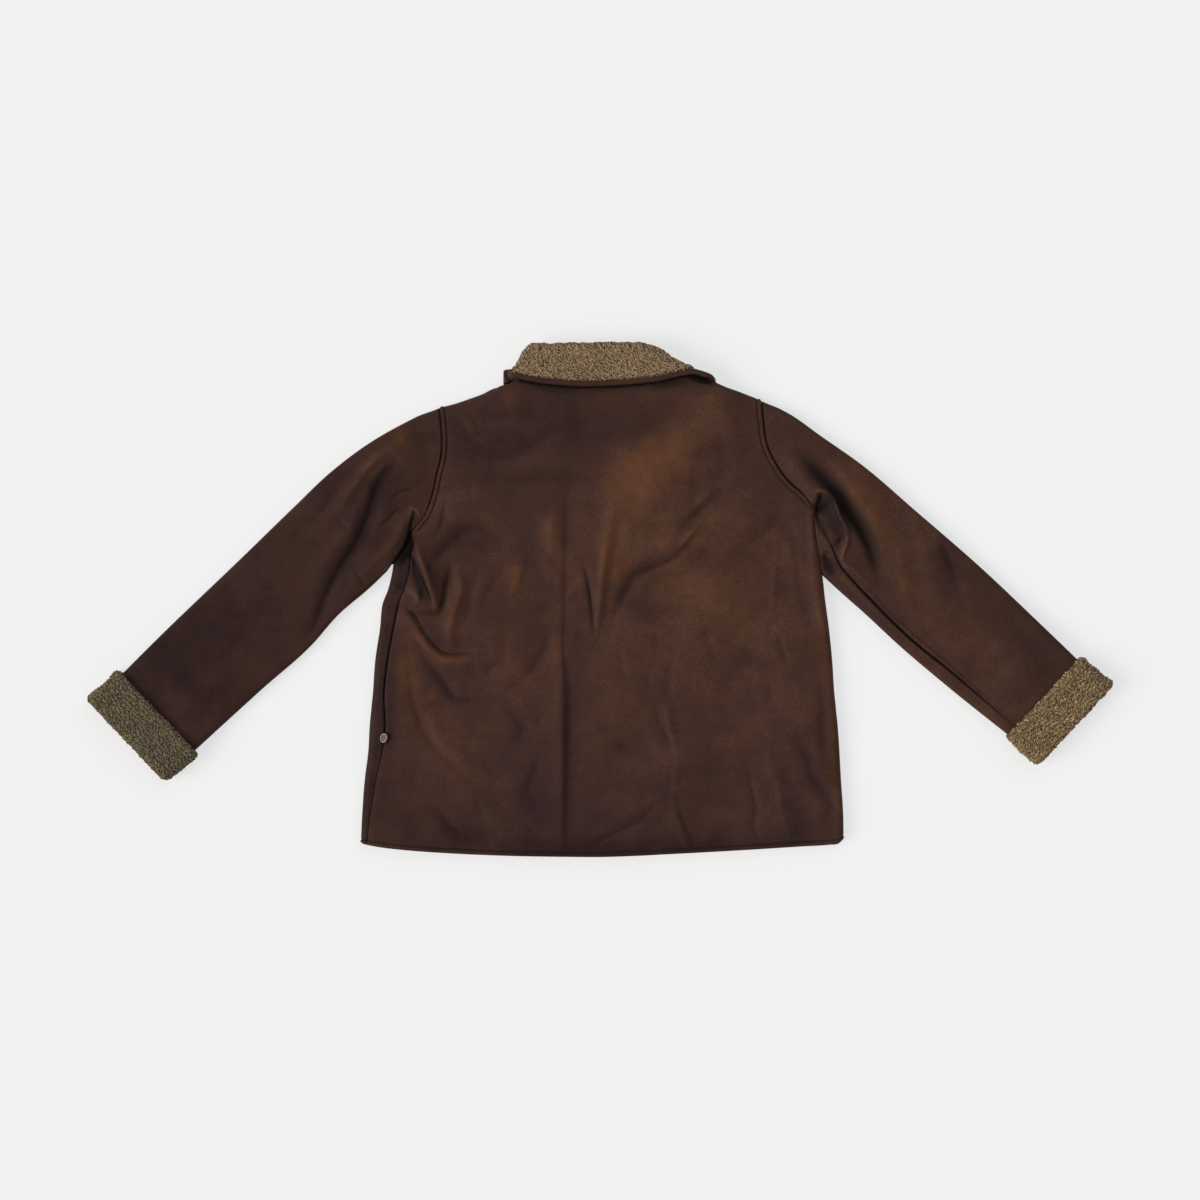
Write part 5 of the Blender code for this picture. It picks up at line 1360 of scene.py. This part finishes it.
def buildSleeve(name, node, material, topEdge, underEdge, hole, underarmLine, cuffEnd, side,
                folds, tones, gaps):
    # a flat tube from the armhole into the cuff, flatter at the underarm; part runs along it, a across it
    r, length = body["edgeRadius"], sleeves["length"]
    near = np.array([0, 0.5, 1.0, 1.6, 2.3, 3.2, 4.2, 5.4, 6.8, 8.4, 10.4, 12.6]) / length
    parts = np.r_[near, np.linspace(near[-1], 0.27, 92)[1:], np.linspace(0.27, 1.0, 116)[1:]]
    across = np.r_[np.linspace(0.0, 0.80, 78), np.linspace(0.80, 1.0, 45)[1:]]
    lines, underarm = sleeveLines(
        topEdge, underEdge, hole, underarmLine, side, parts, across, unrolled(parts))
    _, axis = cuffAxis(topEdge, underEdge, cuffEnd)
    further = np.linspace(0, 1, 9)[1:]
    inCuff = (sleeves["cuffDepth"] - sleeves["cuffLip"]) * further
    lines = np.concatenate([lines, lines[-1:] + inCuff[:, None, None] * axis])
    allParts = np.r_[parts, 1.0 + 0.1 * further]
    part, a = allParts[:, None], across[None, :]
    # pinch: 1 at the underarm, where the seam closes flat
    pinch = smooth(underarm - 0.05, underarm + 0.03, a)
    half = r * (1.0 - pinch * (1.0 - unrolled(part)))
    level = np.broadcast_to(r + sleeves["rise"] * smooth(0.74, 0.97, part), half.shape)
    openPart = smooth(0.0, 0.10, a) * (1.0 - smooth(0.93, 1.0, a)) * (1.0 - smooth(0.90, 0.985, part))
    seamFade = 1.0 - pinch * (1.0 - np.clip(part / sleeves["seamPart"], 0.0, 1.0))
    x, y = lines[..., 0], lines[..., 1]
    # pillow: its height times 1 - |2a - 1|^2.4, soft at both ends of the sleeve
    pillow = sleeves["pillow"] * (1.0 - np.abs(2.0 * a - 1.0) ** 2.4) * smooth(0.0, 0.10, part) * (
        1.0 - smooth(0.88, 0.985, part))
    lift = (pillow + foldsAt(x, y, folds) * openPart) * seamFade
    dips = 1.7 * hump(part * length, 1.2) * (1.0 - pinch)
    under = np.maximum(foldsAt(x, y, undersideFolds), 0.0) * openPart * seamFade
    outer = tubeRings(lines, half, level, lift - dips, under)
    narrow = 1.0 - pinch * (1.0 - np.where(part < 0.02, 0.08, 1.0))
    inner = tubeRings(lines, sleeves["inside"] * narrow, level, lift, under)
    shade, warmth = tonesAt(x, y, tones)
    # painted shade: black where light hardly gets in and down in the armhole seam's dip, where the tone is
    # darker too
    gap = np.maximum(gapsAt(x, y, gaps), 0.8 * np.minimum(dips / 1.5, 1.0) ** 2)
    count = outer.shape[1] - outer.shape[1] % 4

    def ring(values):
        # the values of the upper layer, carried round both edges and faded below
        edge, head = (np.repeat(values[:, [k]], 9, 1) for k in (-1, 0))
        return np.hstack([values, edge, values[:, ::-2] * 0.3, head])[:, :count]

    shades = [("tone", ring(shade - 0.22 * np.minimum(dips, 1.6))), ("warmth", ring(warmth)),
              ("gap", ring(gap))]
    return settle(clothShell(name, outer[:, :count], inner[:, :count], material, shades, wrap=True),
                  node)


def buildCuff(name, node, material, topEdge, underEdge, cuffEnd, topTrim, underTrim):
    # turned-back cuff: outer wall, folded end, lip round the mouth and inner wall; each ring is a flat
    # tube, pulled in at its edges by the trims times the 7th power of the place across
    r = body["edgeRadius"]
    start, axis = cuffAxis(topEdge, underEdge, cuffEnd)
    across = np.linspace(0.0, 1.0, 61)[:, None]
    flat = unit(start[1] - start[0])
    line = start[0] + across * (start[1] - start[0]) + r * (1.0 - 2.0 * across) * flat
    depth, outside, inside = sleeves["cuffDepth"], sleeves["cuffOutside"], sleeves["cuffInside"]
    end = depth - sleeves["cuffLip"] + body["seamGap"]
    fold = (outside - sleeves["inside"]) / 2
    centre = sleeves["inside"] + fold
    turn = np.linspace(math.pi / 2, -math.pi / 2, 11)
    along = np.r_[0.0, 0.3, 1.6, 4.0, np.linspace(8.0, end - 4.0, 12), end + (depth - end) * np.cos(turn),
                  end, end, np.linspace(end - 6.0, 0.0, 8)]
    half = np.r_[inside + 1.6, outside - 2.6, outside - 0.9, np.full(13, outside),
                 centre + fold * np.sin(turn), sleeves["inside"], inside, np.full(8, inside)]
    outerWall = smooth(inside + 0.5, outside - 2.0, half)
    pull = np.interp(along, *topTrim) * outerWall, np.interp(along, *underTrim) * outerWall
    rings = np.stack([
        tubeRings((line + axis * step + (a * (1.0 - across) ** 7 - b * across ** 7) * flat)[None],
                  np.full((1, 61), h), np.full((1, 61), outside), 0.0, arcSteps=11)[0]
        for step, h, a, b in zip(along, half, *pull)])
    return settle(ringBody(name, rings, material, closed=True), node), rings


# Collar

collar = {
    "foldRadius": 1.8,
    "leafWall": 6.5,
    "leafGap": 0.4,
    "edgeWall": 3.2,
    "edgeLift": 1.7,
    "bindingWidth": 6.6,
    "bindingWall": 1.0,
    "endLeft": -24.0,
    "endRight": 12.0,
    "turnWeight": 9.0,      # millimetres of the neck that one radian of its ends counts for
}
collar["middle"] = collar["foldRadius"] + body["wall"] + collar["leafGap"] + collar["leafWall"]


def collarStations(count=240):
    # along the flattened neck: x, turn and the three places up the jacket, evenly spaced
    left, right = neckEnds[0] + 1.0 + collar["middle"], neckEnds[1] - 1.0 - collar["middle"]

    def onFront(start, end, turn):
        # seven stations along the front neck
        return [[x, turn] + [softAt(x, collarFront["x"], collarFront[k]) for k in ("neck", "roll", "leaf")]
                for x in np.linspace(start, end, 7)]

    found = onFront(collar["endLeft"], left + 4.0, math.pi)
    found += [[left, math.radians(turn)] + places for turn, *places in zip(*turnLeft.values())]
    found += [[x, 0.0] + places for x, *places in list(zip(*collarBack.values()))[1:-1]]
    found += [[right, -math.radians(turn)] + places for turn, *places in zip(*turnRight.values())]
    found += onFront(right - 4.0, collar["endRight"], -math.pi)
    found = np.array(found)
    steps = np.abs(np.diff(found[:, :2], axis=0)) @ (1.0, collar["turnWeight"])
    run = np.r_[0.0, np.cumsum(steps)]
    place = np.linspace(0.0, run[-1], count)
    even = [np.interp(place, run, found[:, k]) for k in range(2)]
    even += [softAt(place, run, found[:, k]) for k in range(2, 5)]
    return even


def sectionsThrough(points):
    # one section for each station, from points given as (up, out)
    return np.stack([np.stack(np.broadcast_arrays(u, o), -1) for u, o in points], 1)


def cornersCut(section, times):
    # each pass replaces a corner by two points a quarter of the way along its sides
    for _ in range(times):
        after = np.roll(section, -1, axis=1)
        section = np.stack([0.75 * section + 0.25 * after, 0.25 * section + 0.75 * after], 2)
        section = section.reshape(section.shape[0], -1, 2)
    return section


def coverPart():
    # 1 where the binding is wrapped right over the leaf, at the turned ends
    return smooth(math.radians(4.0), math.radians(24.0), np.abs(collarStations()[1]))


def bindingWidthAt(roll, leaf):
    # its own width, or 0.72 of the leaf where that is less
    return np.minimum(collar["bindingWidth"], 0.72 * (roll - leaf))


def leafSections(neck, roll, leaf):
    # stand up to the roll line, and leaf down to its thin edge; each point is (up, out)
    wall, gap = body["wall"], collar["leafGap"]
    deep = wall + gap + collar["leafWall"] - 1.8 * coverPart()
    turn = np.minimum(6.0, 0.3 * (roll - np.maximum(neck, leaf)))
    width = bindingWidthAt(roll, leaf)
    bulge = np.minimum(width + 2.4, 0.8 * (roll - leaf))
    under = wall + gap
    thin = (under + collar["edgeLift"], under + collar["edgeLift"] + collar["edgeWall"])
    edge = leaf + 0.25 * width
    pressed = np.maximum(leaf + width + 0.3, edge + 0.4)
    shoulder = np.maximum(leaf + bulge, pressed + 1.0)
    top = np.maximum(roll - turn - 0.5, shoulder) - 0.2
    middle = [(shoulder - 0.4 + (top - shoulder + 0.4) * part, deep) for part in (0.8, 0.6, 0.4, 0.2)]
    points = [(neck, wall), (neck, 0.0), (roll - turn, 0.0), (roll - 0.3 * turn, 0.14 * deep),
              (roll, deep / 2), (roll - 0.3 * turn, 0.86 * deep), (roll - turn, deep), (top, deep),
              *middle, (shoulder - 0.4, deep), (pressed, thin[1]), (edge, thin[1]), (edge, thin[0]),
              (pressed, thin[0]), (shoulder - 0.4, under), (roll - turn - 0.6, under),
              (roll - turn - 0.6, wall)]
    return sectionsThrough(points)


def bindingSections(roll, leaf):
    # a folded strip round the leaf's thin edge
    low = body["wall"] + collar["leafGap"] + collar["edgeLift"] - body["seamGap"]
    high = low + collar["edgeWall"] + 2 * body["seamGap"]
    width = bindingWidthAt(roll, leaf)
    inside = leaf + 0.25 * width - body["seamGap"]
    rim = leaf + width - body["seamGap"]
    over = np.maximum(rim, rim + coverPart() * (roll - 1.0 - rim))
    wall = collar["bindingWall"] + 0.4
    middle = (rim + over) / 2 - 1.0
    near, far = leaf + 0.15 * width, leaf + 0.45 * width
    points = [(rim, low), (rim, low - wall), (far, low - wall), (near, low - wall), (leaf, low),
              (leaf, high), (near, high + wall), (far, high + wall), (middle, high + wall),
              (over - 1.2, high + wall), (over + 0.4 * coverPart(), high + 0.3), (over - 1.2, high),
              (inside, high), (inside, low)]
    return sectionsThrough(points)


def collarRings(sections):
    # sections set along the neck and turned about its two folded ends, out by the fold's radius
    x, angle = collarStations()[:2]
    up, out = sections[..., 0], sections[..., 1]
    reach = collar["foldRadius"] + out
    return np.stack([x[:, None] - reach * np.sin(angle)[:, None], up,
                     collar["middle"] + reach * np.cos(angle)[:, None]], -1)


def buildCollar(material, bindingMaterial):
    # stand and leaf in one piece, and the suede strip round the leaf's edge, darker below and at its corner
    places = collarStations()[2:]
    rings = collarRings(cornersCut(leafSections(*places), 2))
    piece = settle(ringBody("collar_leaf", rings, material, closed=False), "collar")
    edge = collarRings(cornersCut(bindingSections(*places[1:]), 2))
    _, roll, leaf = (place[:, None] for place in places)
    upPart = (edge[..., 1] - leaf) / bindingWidthAt(roll, leaf)
    shown = edge[..., 2] > 6.0
    # painted shade and light on the binding: black along its lower edge and along the fold line at its left
    # corner, lighter towards its top edge
    corner = [(-113.2, 277), (-113.0, 269), (-110, 264), (-103, 260.5), (-96, 259)]
    gap = shown * np.minimum(1.5 * bellAlong(edge[..., 0], edge[..., 1], 1.9, 1.9, corner, 2.6), 1.0)
    gap = np.maximum(gap, 0.8 * (1.0 - smooth(-0.02, 0.16, upPart)))
    tone = 0.35 * smooth(0.3, 0.9, upPart) - 0.30
    strip = ringBody("collar_edge_binding", edge, bindingMaterial, closed=False, attributes=[
        ("tone", tone), ("warmth", np.full(tone.shape, -0.1)), ("gap", gap)])
    return piece, settle(strip, "collar_binding"), rings


# Pile: short curled locks, scattered evenly over a surface

pile = {
    "length": (4.2, 8.2),
    "thick": (0.64, 1.04),
    "lift": (1.0, 2.4),
    "turn": (1.0, 3.6),
    "cuffCount": 4000,
    "collarCount": 5000,
    "collarContrast": 1.2,
    # way its locks are combed across, and contrast
    "leftCuff": ((-0.75, -0.66, 0.35), 0.5),
    "rightCuff": ((-0.64, 0.77, 0.35), 0.3),
    "cuffWander": 0.3,      # 1 lets the locks wander, 0 lays them in combed rows
    "lowest": 6.0,          # fewer locks on a cuff below this height
}


def wrapped(rings):
    # the first column again after the last one
    return np.concatenate([rings, rings[:, :1]], 1)


def turnedOut(rings, closed):
    # 1 if the quads between the rings face outwards, -1 if they face inwards
    quads = ringFaces(rings.shape[:2], closed)[0]
    return 1.0 if sixVolumes(rings.reshape(-1, 3), quads) > 0 else -1.0


def scatter(rings, weight, count, rng, facing):
    # as many places on each quad as its area and weight ask for, and the direction out
    grid = wrapped(rings)
    a, b, c, d = grid[:-1, :-1], grid[:-1, 1:], grid[1:, 1:], grid[1:, :-1]
    cross = np.cross(c - a, d - b) * facing
    size = np.linalg.norm(cross, axis=2)
    share = (size * weight).ravel()
    steps = np.cumsum(share) / share.sum()
    pick = np.searchsorted(steps, (np.arange(count) + rng.random(count)) / count)
    pick = np.minimum(pick, share.size - 1)
    u, v = rng.random((2, count, 1))
    a, b, c, d = (corner.reshape(-1, 3)[pick] for corner in (a, b, c, d))
    place = (1 - u) * (1 - v) * a + u * (1 - v) * b + u * v * c + (1 - u) * v * d
    out = cross.reshape(-1, 3)[pick]
    return place, out / np.maximum(np.linalg.norm(out, axis=1, keepdims=True), 1e-9)


def growPile(name, places, outs, material, rng, contrast, grain=(0.31, 0.47, 0.83), wander=1.0):
    # each lock: an arc in the surface's plane that rises and dips back, as a tube thick in its middle;
    # its heading wanders over the cloth in waves of 7 to 11 mm, so that neighbours lie alike
    count, rings, sides = len(places), 4, 4
    first = unit(np.cross(outs, grain))
    second = np.cross(outs, first)
    x, y, z = places.T
    waves = (2.3 * np.sin(x / 9.0 + 1.4 * np.sin(y / 7.0))
             + 2.0 * np.sin(y / 8.0 + 1.1 * np.sin(x / 11.0) + z / 6.0))
    comb = (waves * wander + rng.normal(0.0, 0.45, count))[:, None]
    side = np.cos(comb) * first + np.sin(comb) * second
    other = np.cross(outs, side)
    length, thick, lift, turn = (
        rng.uniform(*pile[label], (count, 1)) for label in ("length", "thick", "lift", "turn"))
    turn = turn * rng.choice([-1.0, 1.0], (count, 1))
    s = np.linspace(0.0, 1.0, rings)[None, :]
    bend = length / turn
    heading = turn * (s - 0.5)
    ahead, aside = bend * np.sin(heading), bend * (1.0 - np.cos(heading))
    # rise: the lift times the sine, plus clumps where it wanders and rows 5 mm apart where it is combed
    clump = np.sin(x / 2.6 + 1.7 * np.sin(y / 4.1)) * np.sin(y / 2.9 + 1.3 * np.sin(x / 3.7))
    across = places @ (grain / np.linalg.norm(grain))
    along = places @ np.cross((0.0, 0.0, 1.0), grain)
    row = np.sin(across / 0.75 + 1.5 * np.sin(along / 4.5) + 0.8 * np.sin(along / 1.9)) * (1.0 - wander)
    rise = lift * np.sin(math.pi * s) - 0.3 + 0.8 * (clump * wander + row)[:, None]
    centre = (places[:, None] + ahead[..., None] * side[:, None] + aside[..., None] * other[:, None]
              + rise[..., None] * outs[:, None])
    ahead = unit(np.gradient(centre, axis=1))
    flatWay = unit(np.cross(outs[:, None], ahead))
    radius = thick * (0.45 + 0.55 * np.sin(math.pi * s))
    # shade: 0.38, plus the contrast times a lift in the middle, on top and for each lock, plus the rows;
    # the lift in the middle and on top is painted light, the darker ends and undersides painted shade
    upper = np.sin(np.arange(sides) * 2 * math.pi / sides)
    shade = 0.38 + contrast * (0.30 * np.sin(math.pi * s)[..., None] - 0.2 + 0.34 * upper
                               + rng.uniform(-0.22, 0.22, (count, 1, 1))) + 0.15 * row[:, None, None]
    return settle(threads(name, centre, flatWay, np.cross(ahead, flatWay), radius, sides, 0.05, material,
                          [("shade", shade)]))


# Stitches and rivets

def stitchLine(name, route, level, material, length=2.3, thick=0.33):
    # short arched threads, end to end along a route, each a tube with pinched ends
    rings, sides, pitch = 5, 5, body["stitchPitch"]
    run = lengthAlong(route)
    s = np.arange(pitch * 0.5, run[-1] - pitch, pitch)[:, None] + np.linspace(0.0, length, rings)
    centre = np.stack([np.interp(s, run, column) for column in route.T], -1)
    up = np.broadcast_to([0.0, 0.0, 1.0 if level > 0 else -1.0], centre.shape)
    arch = np.sin(np.linspace(0.0, math.pi, rings))
    centre = centre + up * (0.35 * arch - 0.15)[:, None]
    flatWay = unit(np.cross(up, unit(np.gradient(centre, axis=1))))
    radius = np.broadcast_to(thick * (0.35 + 0.65 * arch), s.shape)
    return settle(threads(name, centre, flatWay, up, radius, sides, 0.0, material))


def buildRivet(name, node, x, y, seat, up, lean, narrow, material):
    # turned profile: shank, flange, raised rim, then a face sunk inside it; the lean tilts it
    radius, height = rivets["radius"], rivets["height"]
    tilt, turn = math.radians(lean), math.radians(rivets["seatTurn"])
    profile = np.array([
        (0.74, -1.3), (0.80, -0.2), (1.00, 0.00), (1.04, 0.12), (1.04, 0.50), (0.97, 0.80), (0.88, 0.92),
        (0.79, 0.84), (0.73, 0.62), (0.64, 0.56), (0.42, 0.64), (0.20, 0.68), (0.04, 0.68)])
    angle = np.arange(40) * 2 * math.pi / 40
    rings = np.stack([
        np.column_stack([narrow * radius * part * np.cos(angle), radius * part * np.sin(angle),
                         np.full(40, up * height * level)]) for part, level in profile])
    across, ahead, above = rings[..., 0], rings[..., 1], rings[..., 2]
    across, above = (across * math.cos(tilt) - above * math.sin(tilt),
                     across * math.sin(tilt) + above * math.cos(tilt))
    rings = np.stack([x + across * math.cos(turn) + ahead * math.sin(turn),
                      y - across * math.sin(turn) + ahead * math.cos(turn), seat + above], -1)
    # shade 1 on the rim, 0 on the sunken face, which the material darkens as painted shade
    shade = np.repeat((profile[:, :1] > 0.76) * 1.0, 40, 1)
    cap = ringBody(name, rings, material, closed=False, attributes=[("shade", shade)])
    return settle(cap, node)


def onSurface(grid, places, level):
    # given places with the height of a grid there, from the three nearest of its points above the level,
    # or below it where it is negative
    flat = grid[(grid[..., 2] > level) if level > 0 else (grid[..., 2] < -level)]
    low, high = places.min(axis=0) - 6.0, places.max(axis=0) + 6.0
    flat = flat[((flat[:, :2] > low) & (flat[:, :2] < high)).all(axis=1)]
    away = np.hypot(places[:, None, 0] - flat[None, :, 0], places[:, None, 1] - flat[None, :, 1])
    near = np.argsort(away, axis=1)[:, :3]
    weight = 1.0 / (np.take_along_axis(away, near, 1) + 0.05)
    z = (flat[:, 2][near] * weight).sum(axis=1) / weight.sum(axis=1)
    return np.column_stack([places, z])


def besideHole(hole, side, away):
    # a line at a set distance from an armhole seam, on the body's side of it
    line = routeThrough(pointsOf(hole), np.linspace(0.02, 0.985, 120))
    ahead = unit(np.gradient(line, axis=0))
    return line + side * away * np.column_stack([ahead[:, 1], -ahead[:, 0]])


def alongHem(low, high):
    # the hem's row of stitches between two places
    x = np.linspace(low, high, 400)
    return np.column_stack([x, softAt(x, hemLine["x"], hemLine["y"]) + body["hemBand"]])


# Build

buildRoom()
print("room ready")
suede = suedeMaterial("suedeBack")
suedeLeft = suedeMaterial("suedeSleeveLeft", -0.14)
suedeRight = suedeMaterial("suedeSleeveRight", -0.02)
suedeFront = suedeMaterial("suedeFront")
bindingSuede = suedeMaterial("bindingSuede")
sherpaBase = sherpaMaterial("sherpaBacking", (1.0, 0.95, 0.90, 1.0), 0.4)
cuffBase = sherpaMaterial("sherpaCuffBacking", (0.84, 0.84, 0.84, 1.0), 0.9)
collarCurl = sherpaMaterial("sherpaCollar", (0.90, 0.84, 0.82, 1.0), rows=1.0)
leftCurl = sherpaMaterial("sherpaCuffLeft", (0.53, 0.70, 0.81, 1.0), rows=0.5, wool=0.8)
rightCurl = sherpaMaterial("sherpaCuffRight", (1.94, 2.06, 1.82, 1.0), rows=0.2, wool=0.75)
thread = threadMaterial()
metal = rivetMaterial()
print("materials ready")

backPiece, backGrid = buildBack(suede)
print("back ready")
leftFrontPiece, leftFrontGrid = buildLeftFront(suedeFront)
rightFrontPiece, rightFrontGrid = buildRightFront(suedeFront)
print("fronts ready")
leftSleevePiece = buildSleeve(
    "sleeve_left_tube", "sleeve_left", suedeLeft, leftTop, leftUnder, leftArmhole, leftUnderarm,
    leftCuffEnd, -1, leftSleeveFolds, leftSleeveTones, leftSleeveGaps)
rightSleevePiece = buildSleeve(
    "sleeve_right_tube", "sleeve_right", suedeRight, rightTop, rightUnder, rightArmhole, rightUnderarm,
    rightCuffEnd, 1, rightSleeveFolds, rightSleeveTones, rightSleeveGaps)
print("sleeves ready")
leftCuffPiece, leftCuffRings = buildCuff(
    "cuff_left_wall", "cuff_left", cuffBase, leftTop, leftUnder, leftCuffEnd, *cuffTrims["left"])
rightCuffPiece, rightCuffRings = buildCuff(
    "cuff_right_wall", "cuff_right", cuffBase, rightTop, rightUnder, rightCuffEnd, *cuffTrims["right"])
collarPiece, bindingPiece, leafRings = buildCollar(sherpaBase, bindingSuede)
print("cuffs and collar ready")

rng = np.random.default_rng(7)
for side, rings, curl in (("left", leftCuffRings, leftCurl), ("right", rightCuffRings, rightCurl)):
    outerWall = rings[1:25]
    weight = np.where(outerWall[:-1, :, 2] < pile["lowest"], 0.35, 1.0)
    places, outs = scatter(outerWall, weight, pile["cuffCount"], rng, turnedOut(rings, True))
    grain, contrast = pile[side + "Cuff"]
    growPile(
        "cuff_" + side + "_pile", places, outs, curl, rng, contrast, grain, pile["cuffWander"])
# on the leaf's outer side only, clear of its binding and of the ends that the binding covers
leafWeight = np.zeros((leafRings.shape[0] - 1, leafRings.shape[1]))
leafWeight[:, 8:52] = 1.0
leafWeight *= np.where(coverPart()[:-1, None] > 0.25, 0.0, 1.0)
_, rollAt, leafAt = (place[:-1, None] for place in collarStations()[2:])
leafWeight *= leafRings[:-1, :, 1] > leafAt + bindingWidthAt(rollAt, leafAt) + 2.6
leafWeight *= np.where(leafRings[:-1, :, 2] < 8.0, 0.3, 1.0)
places, outs = scatter(leafRings, leafWeight, pile["collarCount"], rng, turnedOut(leafRings, False))
collarPile = growPile("collar_pile", places, outs, collarCurl, rng, pile["collarContrast"])
print("pile ready")

# highest cloth of the back round the left rivet
rivetSeat = backGrid[..., 2][(np.abs(backGrid[..., 0] - rivets["leftX"]) < 7) & (
    np.abs(backGrid[..., 1] - rivets["y"]) < 7) & (backGrid[..., 2] > 10)].max()
buildRivet("rivet_cap_left", "rivet_left", rivets["leftX"], rivets["y"], rivetSeat + rivets["leftRise"], 1,
           rivets["leftLean"], rivets["leftNarrow"], metal)
buildRivet("rivet_cap_right", "rivet_right", rivets["rightX"], rivets["y"],
           rivets["dimple"] - body["seamGap"], -1, 0.0, 1.0, metal)
print("rivets ready")

for label, grid, line, level in (
        ("armhole_left", backGrid, besideHole(leftArmhole, 1, body["bandWidth"]), 8.0),
        ("armhole_right", backGrid, besideHole(rightArmhole, -1, body["bandWidth"]), 8.0),
        ("hem_back", backGrid, alongHem(-274.0, 280.0), 8.0),
        ("hem_front_left", leftFrontGrid, alongHem(-276.0, 14.0), -8.0),
        ("hem_front_right", rightFrontGrid, alongHem(-14.0, 282.0), -8.0)):
    stitchLine("stitches_" + label, onSurface(grid, line, level), level, thread)
print("stitches ready")
